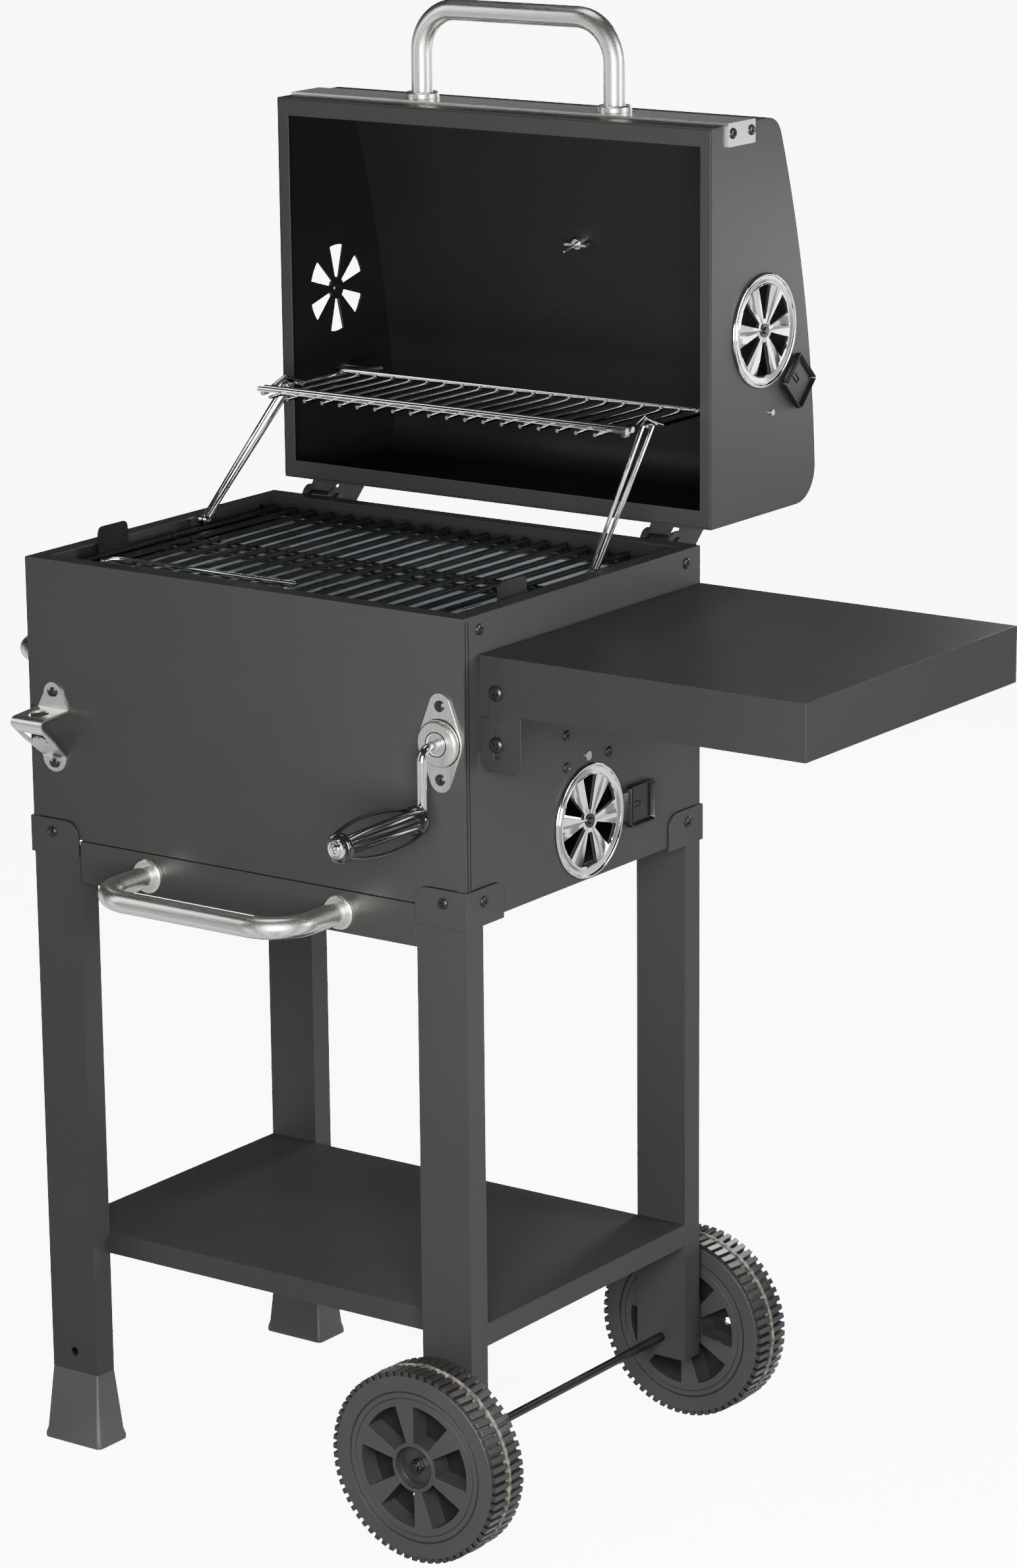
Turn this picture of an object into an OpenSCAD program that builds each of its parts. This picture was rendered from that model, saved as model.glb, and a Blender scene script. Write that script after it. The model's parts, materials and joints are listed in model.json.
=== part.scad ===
// Charcoal trolley grill: sheet-steel firebox with a hinged lid, a crank-lifted charcoal
// pan, a side table, a shelf and two wheels. Millimetres, +Z up, front face towards -Y.
// Pieces are drawn with X from the firebox's left wall, Y from its front wall and Z from
// the ground; place() then moves the origin to the middle of the whole outline.

/* [Firebox] */
// Width of the firebox
box_w = 460; // [440:1:480]
// Depth of the firebox
box_d = 346; // [335:1:360]
// Height of the firebox rim above the ground
rim_z = 802; // [780:1:830]
// Height of the side walls
side_h = 256; // [250:1:262]
// Height of the front and back walls
front_h = 243; // [238:1:247]
// Width of the flange folded in round the rim
rim_flange = 16; // [13:0.5:16.5]
// Thickness of the sheet metal
sheet = 1.5; // [1.2:0.1:1.8]
// Thickness of the corner brackets
bracket_t = 2; // [1.5:0.1:3]
// Height of the corner brackets
bracket_h = 32; // [28:1:38]
// Rounding of the corner brackets
bracket_r = 13; // [6:1:16]

/* [Legs, shelf and wheels] */
// Width of a leg
leg_w = 50.5; // [46:0.5:54]
// Depth of a leg
leg_d = 23.5; // [20:0.5:27]
// Height of the leg ends above the ground
foot_h = 67; // [62:1:71]
// How far a foot spreads on each side across its width
foot_spread_x = 7; // [3:0.5:9]
// How far a foot spreads on each side across its depth
foot_spread_y = 8.5; // [3:0.5:10]
// Height of the shelf's top
shelf_z = 195.5; // [185:1:260]
// Depth of the shelf's flange
shelf_flange = 20; // [14:1:28]
// Radius of a wheel over its lugs
wheel_r = 85; // [82:1:90]
// Width of a wheel
wheel_t = 41; // [36:1:46]
// Gap between a wheel and its leg
wheel_gap = 9; // [7:0.5:14]
// Lugs round each side of the tread
lug_count = 48; // [36:1:64]
// Height of the lugs
lug_h = 5; // [3:0.5:6]
// Windows in a wheel
window_count = 6; // [5:1:7]
// Outer radius of a wheel's windows
window_r = 54; // [44:1:58]
// Angle that a wheel's window spans
window_angle = 40; // [30:1:46]
// Diameter of the axle
axle_d = 8; // [7:0.5:9]

/* [Side table] */
// Width of the table
table_w = 309; // [250:1:340]
// Depth of the table
table_d = 325; // [300:1:330]
// Height of the table's top
table_z = 770; // [765:1:778]
// Depth of the table's flange
table_flange = 48; // [40:1:52]
// Width of the hook tabs
tab_w = 40; // [34:1:46]
// How far the hook tabs reach below the table's top
tab_h = 96; // [92:1:104]

/* [Handles] */
// Diameter of the handle tube
tube_d = 19; // [16:0.5:22]
// Distance between a handle's feet
handle_span = 204; // [180:1:230]
// How far a handle's centreline stands out
handle_reach = 78.5; // [65:0.5:95]
// Bend radius of a handle's centreline
handle_bend = 37.5; // [28:0.5:45]
// Diameter of the collars
collar_d = 30; // [26:1:36]
// Thickness of the collars
collar_t = 6; // [4:0.5:9]

/* [Crank and pan lift] */
// How far the crank's shaft lies in from the right wall's face
crank_in = 23; // [22:0.5:26]
// How far the crank's shaft lies below the rim
crank_drop = 104.5; // [100:0.5:112]
// Diameter of the crank rod
rod_d = 8; // [7:0.5:8.5]
// Radius of the crank
crank_arm = 57; // [48:1:70]
// Length of the crank's grip
grip_len = 117; // [95:1:130]
// Diameter of the grip's collars
grip_d = 25; // [22:1:28]
// How far the cage ribs bow out
cage_bow = 5; // [3:0.5:7]
// Teeth of the pinion
pinion_teeth = 12; // [12:1:13]
// Module of the pinion and rack
gear_module = 1.75; // [1.6:0.05:1.8]
// Travel of the charcoal pan
lift_travel = 60; // [45:1:61]
// Width of the charcoal pan
pan_w = 400; // [360:1:402]
// Depth of the pan from front to back
pan_d = 326; // [300:1:330]
// Height of the pan's sides
pan_h = 22; // [18:1:26]
// Slope of the pan's sides, as the inset of its floor
pan_slope = 17; // [12:1:24]

/* [Ash drawer] */
// Height of the drawer's front
drawer_h = 37; // [33:1:45]
// Depth of the ash tray
tray_d = 300; // [260:1:310]

/* [Cooking grates] */
// Rods across each grate
grate_rods = 21; // [17:1:23]
// Diameter of the grate rods
grate_rod_d = 5; // [4:0.5:5.5]
// Diameter of the cross rods
cross_rod_d = 6; // [5:0.5:7]
// Depth of the grates' top below the rim
grate_drop = 8.5; // [7:0.5:12]
// Height of the lifting ears above the rim
ear_h = 14; // [9:0.5:18]
// Width of a lifting ear
ear_w = 40; // [30:1:50]

/* [Lid] */
// Depth of the lid
lid_d = 342; // [334:1:344]
// Height of the lid's crown above its rim
lid_h = 168; // [160:1:190]
// How far the lid's back stands inside the firebox's back
lid_back_in = 2; // [1:0.5:6]
// Vent centre ahead of the lid's back
lid_vent_in = 161; // [140:1:190]
// Vent centre above the lid's rim
lid_vent_up = 81; // [70:1:95]
// Thermometer ahead of the lid's back
thermo_in = 213; // [170:1:240]
// Gap between the closed lid and the rim
lid_gap = 1.5; // [1:0.1:2]
// Radius of the lid's crown
crown_r = 1050; // [900:10:1400]
// Corner radius at the lid's front
lid_front_r = 22; // [15:1:32]
// Corner radius at the lid's back
lid_back_r = 30; // [20:1:40]
// Width of the trim strip
trim_h = 41; // [36:1:50]
// Thickness of the trim strip
trim_t = 2; // [1.2:0.1:2.5]
// Distance of a hinge's middle from the side
hinge_in = 47; // [40:1:70]
// Width of a hinge over its cheeks
hinge_w = 32; // [28:1:38]
// How far the hinge pin stands behind the back wall
hinge_back = 11.4; // [11.4:0.1:13]
// How far the hinge pin lies below the rim
hinge_drop = 4.1; // [3:0.1:5]

/* [Vents] */
// Diameter of a vent disc
vent_d = 99; // [90:1:102]
// Inner radius of the vent windows
vent_window_in = 10; // [8:0.5:14]
// Outer radius of the vent windows
vent_window_out = 39.2; // [36:0.2:41]
// Width of the vent disc's tab
vent_tab_w = 25; // [18:1:34]
// Width of a vent grip
vent_grip_w = 37; // [28:1:40]
// Height of a vent grip
vent_grip_h = 36; // [30:1:44]

/* [Warming rack] */
// How far the rack's pin lies behind the hinge when the lid stands open
link_y = 100.1; // [96:0.1:104]
// How far the rack's pin lies above the hinge when the lid stands open
link_z = 101.3; // [98:0.1:105]
// Distance of the rack legs' pins from the front wall
rack_foot_y = 217; // [212:1:220]
// Length of the rack from its pins to its front rod
rack_len = 173; // [165:1:178]
// Width of the rack over its side rods
rack_w = 384.8; // [376:0.2:388]
// Rods along the rack
rack_rods = 20; // [16:1:24]
// Diameter of the rack wire
rack_wire = 5; // [4:0.5:5]

/* [Hidden] */

$fn = 48;

// Radial running clearance of pins, shafts and screws
run = 0.05;
// Gap between pieces of different bodies
gap = 0.3;
// How far cutting tools reach past a face
cut = 1;

// Colours
coat = [0.23, 0.23, 0.22];
black = [0.08, 0.08, 0.08];
steel = [0.72, 0.71, 0.68];
chrome = [0.85, 0.85, 0.86];
enamel = [0.47, 0.50, 0.53];
plastic = [0.16, 0.17, 0.16];

// Heights of the firebox
side_bottom = rim_z - side_h;
front_bottom = rim_z - front_h;
wall_in = box_w - sheet;

// Hinge pin of the lid
hinge_y = box_d + hinge_back;
hinge_z = rim_z - hinge_drop;
hinge_r = hinge_back - 0.4;
hinge_bolt_r = 3;

// Lid, drawn closed
lid_back = box_d - lid_back_in;
lid_front = lid_back - lid_d;
lid_rim_z = rim_z + lid_gap;
lid_side_flange = rim_flange - 4;
crown_y = lid_back + 20;
crown_z = lid_rim_z + lid_h - crown_r;
lid_front_corner = [lid_front + lid_front_r,
    crown_z + sqrt(pow(crown_r - lid_front_r, 2) - pow(crown_y - lid_front - lid_front_r, 2))];
lid_back_corner = [lid_back - lid_back_r,
    crown_z + sqrt(pow(crown_r - lid_back_r, 2) - pow(crown_y - lid_back + lid_back_r, 2))];
trim_z = lid_rim_z + 23;
trim_tab = 20;
trim_screw_inset = 6;
lid_vent_y = lid_back - lid_vent_in;
lid_vent_z = lid_rim_z + lid_vent_up;
thermo_y = lid_back - thermo_in;
thermo_tilt = asin((crown_y - thermo_y) / crown_r);
thermo_stem_r = 2.5;
thermo_nut_h = 8;
thermo_stem_len = 29;

// Legs and wheels
leg_wall = 1.5;
axle_r = axle_d / 2;
axle_x = box_w - leg_w / 2;
axle_z = wheel_r;
nut_r = 6.5;
nut_t = 6;
hub_recess = 8;
front_wheel_y = -wheel_gap - wheel_t;
rear_wheel_y = box_d + wheel_gap;
front_roll = 250;
rear_roll = 10;
axle_end = 2;
foot_plug_h = (wheel_r - foot_h) / 2;

// Side table
table_x = box_w + 2;
table_y = (box_d - table_d) / 2 + 8.5;
tab_bolt_r = 3;
tab_bolt_x = table_x + 16.5;
tab_bolt_z = [table_z - 30, table_z - 73];
tab_slots = [18, 24];
tab_slot_r = 3.5;

// Screws
screw_r = 2;
head_r = 4;
head_t = 2;

// Crank and lift
crank_x = box_w - crank_in;
crank_z = rim_z - crank_drop;
rod_r = rod_d / 2;
rod_bend = 10;
grip_bend = rod_r + 0.7;
crank_front = -19;
plate_w = 43;
plate_end_r = 10.5;
plate_screw = 30.7;
boss_r = 19.5;
boss_t = 6;
grip_start = crank_front - rod_r - 1;
grip_end = grip_start - grip_len;
end_screw_t = 4;
end_washer_t = 2;
pitch_r = pinion_teeth * gear_module / 2;
gear_pitch = PI * gear_module;
pressure = 25;
backlash = 0.3;
base_r = pitch_r * cos(pressure);
tip_r = pitch_r + 0.9 * gear_module;
root_r = pitch_r - 1.2 * gear_module;
lift_y = box_d / 2 + 2.7;
pinion_y = lift_y + 7;
pinion_w = 10;
cheek_gap = 47;
pin_drop = 44.5;
pin_r = 4;
pin_z = crank_z - pin_drop;
bar_t = 3;
bar_x = crank_x + pitch_r + 1.25 * gear_module;
bar_y0 = lift_y - 12;
bar_y1 = lift_y + 18;
cradle_bottom = pin_z - 13;
pan_top = rim_z - 23;
shelf_top = pan_top - sheet;
pan_shift = 10;
pan_x = (box_w - pan_w) / 2 - pan_shift;
pan_y = (box_d - pan_d) / 2;
pan_flange = 12;
bracket_z0 = pin_z - 10;
bracket_z1 = crank_z + 13;
lift_screws = [[lift_y - 31.5, crank_z - 21], [lift_y - 31.5, crank_z - 48.5],
    [lift_y + 31, crank_z - 47.5]];

// Ash drawer
drawer_top = front_bottom - 1;
drawer_bottom = drawer_top - drawer_h;
drawer_x = leg_w + 0.5;
runner_x = leg_w + 1;
runner_y = 12;
runner_ledge = 12;
runner_z = drawer_bottom + 3;
tray_x = runner_x + sheet + 0.5;
tray_z = runner_z + sheet + gap;
tray_top = drawer_top - 4;
handle_z = (drawer_top + drawer_bottom) / 2;

// Cooking grates
grate_top = rim_z - grate_drop;
grate_rod_z = grate_top - grate_rod_d / 2;
cross_rod_z = grate_top - grate_rod_d + 0.5 - cross_rod_d / 2;
rest_z = cross_rod_z - cross_rod_d / 2;
rest_w = 12;
grate_x0 = rim_flange + grate_rod_d / 2 + 0.5;
grate_step = (box_w - 2 * grate_x0) / (grate_rods - 1);
grate_split = box_d / 2;
bail_wire = 4;
bail_y = 24;
bail_z = grate_top + 5.5;
bail_w = 22;
bail_x0 = grate_x0 + 2 * grate_step;
bail_x1 = grate_x0 + 11.5 * grate_step;
curl_x = [grate_x0 + 4 * grate_step, grate_x0 + 11 * grate_step];

// Vents
vent_r = vent_d / 2;
vent_y = box_d / 2 + 3;
vent_z = side_bottom + 51;
vent_t = 0.8;
vent_windows = 6;
firebox_window_turn = 180 / vent_windows;
vent_nut_t = 1.2;
grip_out = 6;
grip_in = 3.5;
grip_wall = 2;
lid_grip_angle = [90, 45];

// Warming rack and its legs
pin_y = hinge_y + link_y;
rack_pin_z = hinge_z + link_z;
rack_foot_z = rim_z - 3.5;
rack_r = rack_wire / 2;
rack_side_x = (box_w - rack_w) / 2;
rack_z = rack_pin_z + 3.8;
rack_front_y = pin_y - rack_len;
joint_y = rack_foot_y + link_y;
joint_z = rack_foot_z + link_z;
leg_wire_r = 2;
leg_over = 7;
leg_half = rack_r + leg_wire_r + 0.3;
leg_foot_x = rim_flange + 4.5;
leg_pin_r = 1.75;
bump_half = 26;
bump_z = joint_z + leg_over + leg_wire_r + rack_r + 0.6;
grid_rod_d = 3.5;

// Screw places
bracket_screw = 22;
bracket_screw_z = side_bottom + 17;
rim_screw_z = rim_z - 12;
guide_mid = pin_z + 35;
guide_screw = 20;
opener_x = 27.5;
opener_screws = [crank_z - 10, crank_z - 72.5];
shelf_screw_z = shelf_z - shelf_flange / 2;
table_bracket_screws = [table_z - 62, table_z - 41];
table_mid = table_y + table_d / 2;
ear_screws = [rim_z - 46, rim_z - 22];
guide_x = sheet + 5.5;

// Outline of the whole grill
outline_x = [-handle_reach - tube_d / 2, table_x + table_w];
outline_y = [grip_end - end_washer_t - end_screw_t,
    hinge_y - hinge_z + max(lid_back_corner[1] + lid_back_r,
        lid_vent_z + vent_r + grip_in + vent_grip_w)];

module place() {
    translate([-(outline_x[0] + outline_x[1]) / 2, -(outline_y[0] + outline_y[1]) / 2, 0])
        children();
}

// Turns lid pieces from closed to standing open about the hinge pin
module open_lid() {
    place() translate([0, hinge_y, hinge_z]) rotate([-90, 0, 0])
        translate([0, -hinge_y, -hinge_z]) children();
}

module box(p, q) {
    translate(p) cube(q - p);
}

// Cylinders from a point along an axis
module along_x(p, r, h) {
    translate(p) rotate([0, 90, 0]) cylinder(r = r, h = h);
}

module along_y(p, r, h) {
    translate(p) rotate([-90, 0, 0]) cylinder(r = r, h = h);
}

// Round wire through a list of points, with ball corners
module wire(points, r) {
    for (i = [0 : len(points) - 2]) {
        v = points[i + 1] - points[i];
        translate(points[i]) rotate([0, acos(v[2] / norm(v)), atan2(v[1], v[0])])
            cylinder(r = r, h = norm(v));
    }
    for (i = [1 : 1 : len(points) - 2]) translate(points[i]) sphere(r = r + 0.03);
}

// Angle between two steps of a path
function turn(u, v) = acos(u * v / norm(u) / norm(v));

// Welded rod through a list of points, twelve-sided, its steps mitred into each other
module rod(points, r) {
    last = len(points) - 2;
    for (i = [0 : last]) {
        v = points[i + 1] - points[i];
        before = i == 0 ? 0 : r * tan(turn(points[i] - points[i - 1], v) / 2);
        after = i == last ? 0 : r * tan(turn(v, points[i + 2] - points[i + 1]) / 2);
        translate(points[i] - v / norm(v) * before)
            rotate([0, acos(v[2] / norm(v)), atan2(v[1], v[0])])
            cylinder(r = r, h = norm(v) + before + after, $fn = 12);
    }
}

// Rounded plate about the origin
module round_bar(w, h, r, t) {
    linear_extrude(t) union() {
        translate([-w / 2 + r, -h / 2]) square([w - 2 * r, h]);
        translate([-w / 2, -h / 2 + r]) square([w, h - 2 * r]);
        for (x = [-1, 1], y = [-1, 1]) translate([x * (w / 2 - r), y * (h / 2 - r)]) circle(r = r);
    }
}

// Pan-head screw whose head stands towards +Z from the origin and shank runs to -Z
module screw(shank) {
    rotate_extrude() polygon([[0, -shank], [screw_r, -shank], [screw_r, 0], [head_r, 0],
        [head_r, head_t * 0.45], [head_r * 0.72, head_t * 0.88], [head_r * 0.35, head_t],
        [0, head_t]]);
}

// ---- Firebox ----

// Lug and pin that carry one of the rack's wire legs, on the left side
module rack_lug() {
    box([rim_flange - 3.5, rack_foot_y - 7, rack_foot_z - 5],
        [rim_flange - 1.5, rack_foot_y + 7, rim_z - sheet]);
    along_x([rim_flange - 3, rack_foot_y, rack_foot_z], leg_pin_r, 12.5);
}

// Holes for the rim screws and the corner brackets, along X through both side walls
module bracket_screw_tools() {
    for (y = [bracket_screw, box_d - bracket_screw], z = [bracket_screw_z, rim_screw_z])
        along_x([-bracket_t - cut, y, z], screw_r + run, box_w + 2 * bracket_t + 2 * cut);
}

module firebox_left() {
    color(coat) place() difference() {
        union() {
            box([0, sheet, side_bottom], [sheet, box_d - sheet, rim_z - sheet]);
            box([0, rim_flange, rim_z - sheet], [rim_flange, box_d - rim_flange, rim_z]);
            rack_lug();
        }
        for (y = [-1, 1]) along_x([-cut, box_d / 2 + y * handle_span / 2, crank_z], screw_r + run,
            sheet + 2 * cut);
        bracket_screw_tools();
        for (z = [-1, 1]) along_x([-cut, lift_y, guide_mid + z * guide_screw], screw_r + run,
            sheet + 2 * cut);
    }
}

module firebox_right() {
    color(coat) place() difference() {
        union() {
            box([wall_in, sheet, side_bottom], [box_w, box_d - sheet, rim_z - sheet]);
            box([box_w - rim_flange, rim_flange, rim_z - sheet],
                [box_w, box_d - rim_flange, rim_z]);
            translate([box_w, 0, 0]) mirror([1, 0, 0]) rack_lug();
        }
        bracket_screw_tools();
        for (s = lift_screws) along_x([wall_in - cut, s[0], s[1]], screw_r + run, sheet + 2 * cut);
        along_x([wall_in - cut, lift_y, pin_z], pin_r + run, sheet + 2 * cut);
        table_bracket_holes();
        translate([wall_in - cut, vent_y, vent_z]) rotate([0, 90, 0]) {
            petals(sheet + 2 * cut);
            cylinder(r = screw_r + run, h = sheet + 2 * cut);
        }
    }
}

// Petal openings of a vent, through a wall towards +Z
module petals(h) {
    for (i = [0 : vent_windows - 1]) rotate(i * 360 / vent_windows) linear_extrude(h)
        sector(vent_window_in, vent_window_out, 180 / vent_windows - 2);
}

// Part of a ring between two radii, over an angle centred on +X
module sector(r0, r1, angle) {
    steps = 6;
    polygon(concat(
        [for (i = [0 : steps]) let (a = -angle / 2 + angle * i / steps) r1 * [cos(a), sin(a)]],
        [for (i = [0 : steps]) let (a = angle / 2 - angle * i / steps) r0 * [cos(a), sin(a)]]));
}

// Front or back wall with its flange, standing on y = 0
module end_wall() {
    box([0, 0, front_bottom], [box_w, sheet, rim_z]);
    box([0, 0, rim_z - sheet], [box_w, rim_flange, rim_z]);
    box([0, 0, side_bottom], [sheet, sheet, rim_z]);
    box([wall_in, 0, side_bottom], [box_w, sheet, rim_z]);
}

module firebox_front() {
    color(coat) place() difference() {
        end_wall();
        for (x = [bracket_screw, box_w - bracket_screw])
            along_y([x, -cut, bracket_screw_z], screw_r + run, sheet + 2 * cut);
        along_y([crank_x, -cut, crank_z], rod_r + run, sheet + 2 * cut);
        for (z = [-1, 1]) along_y([crank_x, -cut, crank_z + z * plate_screw], screw_r + run,
            sheet + 2 * cut);
        for (z = opener_screws) along_y([opener_x, -cut, z], screw_r + run, sheet + 2 * cut);
    }
}

module firebox_back() {
    color(coat) place() difference() {
        translate([0, box_d, 0]) mirror([0, 1, 0]) end_wall();
        for (x = [bracket_screw, box_w - bracket_screw])
            along_y([x, box_d - sheet - cut, bracket_screw_z], screw_r + run, sheet + 2 * cut);
        for (x = [hinge_in, box_w - hinge_in], z = ear_screws)
            along_y([x, box_d - sheet - cut, z], screw_r + run, sheet + 2 * cut);
    }
}

// Floor with its ash opening, and the two runners of the ash drawer welded under it
module firebox_floor() {
    color(coat) place() {
        difference() {
            box([sheet, sheet, front_bottom], [wall_in, box_d - sheet, front_bottom + sheet]);
            box([leg_w + 24, 40, front_bottom - cut],
                [box_w - leg_w - 24, box_d - 50, front_bottom + sheet + cut]);
        }
        for (side = [0, 1]) translate([side * box_w, 0, 0]) mirror([side, 0, 0]) {
            box([runner_x, runner_y, runner_z],
                [runner_x + sheet, box_d - leg_d - 2, front_bottom]);
            box([runner_x, runner_y, runner_z],
                [runner_x + sheet + runner_ledge, box_d - leg_d - 2, runner_z + sheet]);
        }
    }
}

// Corner bracket wrapped round the front left corner
module corner_bracket() {
    z0 = side_bottom - 3.5;
    difference() {
        union() {
            intersection() {
                box([-bracket_t, -bracket_t, z0], [leg_w, 0, z0 + bracket_h]);
                translate([leg_w / 2 - bracket_t, cut, z0 + bracket_h / 2]) rotate([90, 0, 0])
                    round_top(leg_w + 2 * bracket_t, bracket_h, bracket_r, bracket_t + 2 * cut);
            }
            intersection() {
                box([-bracket_t, -bracket_t, z0], [0, leg_w, z0 + bracket_h]);
                translate([-bracket_t - cut, leg_w / 2 - bracket_t, z0 + bracket_h / 2])
                    rotate([90, 0, 90])
                    round_top(leg_w + 2 * bracket_t, bracket_h, bracket_r, bracket_t + 2 * cut);
            }
        }
        along_x([-bracket_t - cut, bracket_screw, bracket_screw_z], screw_r + run,
            bracket_t + 2 * cut);
        along_y([bracket_screw, -bracket_t - cut, bracket_screw_z], screw_r + run,
            bracket_t + 2 * cut);
    }
}

// Plate outline with its far top corner rounded
module round_top(w, h, r, t) {
    linear_extrude(t) {
        translate([-w / 2, -h / 2]) square([w, h - r]);
        translate([-w / 2, -h / 2]) square([w - r, h]);
        translate([w / 2 - r, h / 2 - r]) circle(r = r);
    }
}

module corner_brackets() {
    color(coat) place() for (sx = [0, 1], sy = [0, 1])
        translate([sx * box_w, sy * box_d, 0]) mirror([sx, 0, 0]) mirror([0, sy, 0])
            corner_bracket();
}

// ---- Legs, feet, shelf and wheels ----

module leg(x, y) {
    difference() {
        box([x, y, foot_h], [x + leg_w, y + leg_d, side_bottom]);
        box([x + leg_wall, y + leg_wall, foot_h - cut],
            [x + leg_w - leg_wall, y + leg_d - leg_wall, side_bottom + cut]);
        along_y([x + leg_w / 2, y - cut, axle_z], axle_r + run, leg_d + 2 * cut);
        inner = y < box_d / 2 ? y + leg_d - leg_wall - cut : y - cut;
        along_y([x + leg_w / 2, inner, shelf_screw_z], screw_r + run, leg_wall + 2 * cut);
    }
}

module legs_left() {
    color(coat) place() {
        leg(0, 0);
        leg(0, box_d - leg_d);
    }
}

module legs_right() {
    color(coat) place() {
        leg(box_w - leg_w, 0);
        leg(box_w - leg_w, box_d - leg_d);
    }
}

module foot_slab(w, d, r, h) {
    for (x = [-1, 1], y = [-1, 1]) translate([x * (w / 2 - r), y * (d / 2 - r), 0])
        cylinder(r = r, h = h, $fn = 24);
}

module foot(y) {
    translate([leg_w / 2, y + leg_d / 2, 0]) {
        hull() {
            foot_slab(leg_w + 2 * foot_spread_x, leg_d + 2 * foot_spread_y, 5, 4);
            translate([0, 0, 9])
                foot_slab(leg_w + 2 * foot_spread_x - 3, leg_d + 2 * foot_spread_y - 3, 5, 1);
        }
        hull() {
            translate([0, 0, 9])
                foot_slab(leg_w + 2 * foot_spread_x - 3, leg_d + 2 * foot_spread_y - 3, 5, 1);
            translate([0, 0, foot_h - 2]) foot_slab(leg_w + 1, leg_d + 1, 2, 2);
        }
        translate([-leg_w / 2 + leg_wall + 0.2, -leg_d / 2 + leg_wall + 0.2, foot_h - 2])
            cube([leg_w - 2 * leg_wall - 0.4, leg_d - 2 * leg_wall - 0.4, foot_plug_h + 2]);
    }
}

module feet() {
    color(plastic) place() {
        foot(0);
        foot(box_d - leg_d);
    }
}

module bottom_shelf() {
    y0 = leg_d;
    y1 = box_d - leg_d;
    color(coat) place() difference() {
        box([0, y0, shelf_z - shelf_flange], [box_w, y1, shelf_z]);
        box([sheet, y0 + sheet, shelf_z - shelf_flange - cut],
            [wall_in, y1 - sheet, shelf_z - sheet]);
        for (x = [leg_w / 2, box_w - leg_w / 2])
            along_y([x, y0 - cut, shelf_screw_z], screw_r + run, y1 - y0 + 2 * cut);
    }
}

module wheel_axle() {
    y0 = front_wheel_y + hub_recess - nut_t - axle_end;
    y1 = rear_wheel_y + wheel_t - hub_recess + nut_t + axle_end;
    color(black) place() along_y([axle_x, y0, axle_z], axle_r, y1 - y0);
}

module axle_nuts() {
    color(steel) place() for (y = [front_wheel_y + hub_recess - nut_t - gap,
        rear_wheel_y + wheel_t - hub_recess + gap])
        difference() {
            translate([axle_x, y, axle_z]) rotate([-90, 0, 0]) cylinder(r = nut_r, h = nut_t, $fn = 6);
            along_y([axle_x, y - cut, axle_z], axle_r, nut_t + 2 * cut);
        }
}

// Wheel on the Z axis: z = 0 is its inner face, the outer face has the nut's recess
module wheel() {
    tread_r = wheel_r - lug_h;
    hub_r = 20.5;
    groove = 1;
    groove_r = tread_r - 14;
    rib_r = wheel_r - 1.5;
    web = 3;
    web_hole_r = 3.5;
    mid = wheel_t / 2;
    difference() {
        union() {
            rotate_extrude($fn = 96) polygon([
                [axle_r + run, -wheel_gap + 0.5], [12, -wheel_gap + 0.5], [12, 0],
                [groove_r - groove, 0], [groove_r - groove, groove], [groove_r, groove],
                [groove_r, 0], [tread_r, 0], [tread_r, mid - 2.5], [rib_r, mid - 2.5],
                [rib_r, mid + 2.5], [tread_r, mid + 2.5], [tread_r, wheel_t],
                [groove_r, wheel_t], [groove_r, wheel_t - groove], [hub_r, wheel_t - groove],
                [hub_r, wheel_t], [hub_r - 2, wheel_t],
                [hub_r - 2, wheel_t - hub_recess], [axle_r + run, wheel_t - hub_recess]]);
            for (z = [0, mid + 2]) translate([0, 0, z])
                rotate(z > 0 ? 180 / lug_count : 0) linear_extrude(mid - 2) lug_ring(tread_r);
        }
        for (i = [0 : window_count - 1], z = [-cut, mid + web / 2])
            rotate(i * 360 / window_count) translate([0, 0, z])
            linear_extrude(mid - web / 2 + cut) sector(hub_r + 1.5, window_r, window_angle);
        translate([(hub_r + window_r) / 2, 0, 0]) cylinder(r = web_hole_r, h = wheel_t);
    }
}

module lug_ring(tread_r) {
    step = 360 / lug_count;
    difference() {
        polygon([for (i = [0 : lug_count - 1], c = [[-0.32, -0.8], [-0.24, 0], [0.24, 0], [0.32, -0.8]])
            let (a = step * (i + c[0]), r = c[1] < 0 ? tread_r : wheel_r) r * [cos(a), sin(a)]]);
        circle(r = tread_r - 3);
    }
}

module wheel_front() {
    color(plastic) place() translate([axle_x, -wheel_gap, axle_z])
        rotate([90, 0, 0]) rotate(front_roll) wheel();
}

module wheel_rear() {
    color(plastic) place() translate([axle_x, rear_wheel_y, axle_z])
        rotate([-90, 0, 0]) rotate(-rear_roll) wheel();
}

// ---- Side table ----

module table_hook_tab(y) {
    z0 = table_z - tab_h;
    r = 8;
    difference() {
        union() {
            box([table_x, y, z0 + r], [table_x + tab_w, y + sheet, table_z - table_flange + cut]);
            box([table_x + r, y, z0], [table_x + tab_w - r, y + sheet, z0 + r]);
            for (x = [table_x + r, table_x + tab_w - r]) along_y([x, y, z0 + r], r, sheet);
        }
        for (i = [0, 1]) for (up = [-1, 1]) {
            z = tab_bolt_z[i];
            end = tab_slots[i] / 2 - tab_slot_r;
            along_y([tab_bolt_x, y - cut, z + up * end], tab_slot_r, sheet + 2 * cut);
            box([tab_bolt_x - tab_slot_r, y - cut, z - end],
                [tab_bolt_x + tab_slot_r, y + sheet + cut, z + end]);
        }
        box([table_x - cut, y - cut, table_z - 51], [table_x + 9, y + sheet + cut, table_z - 35]);
    }
}

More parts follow.
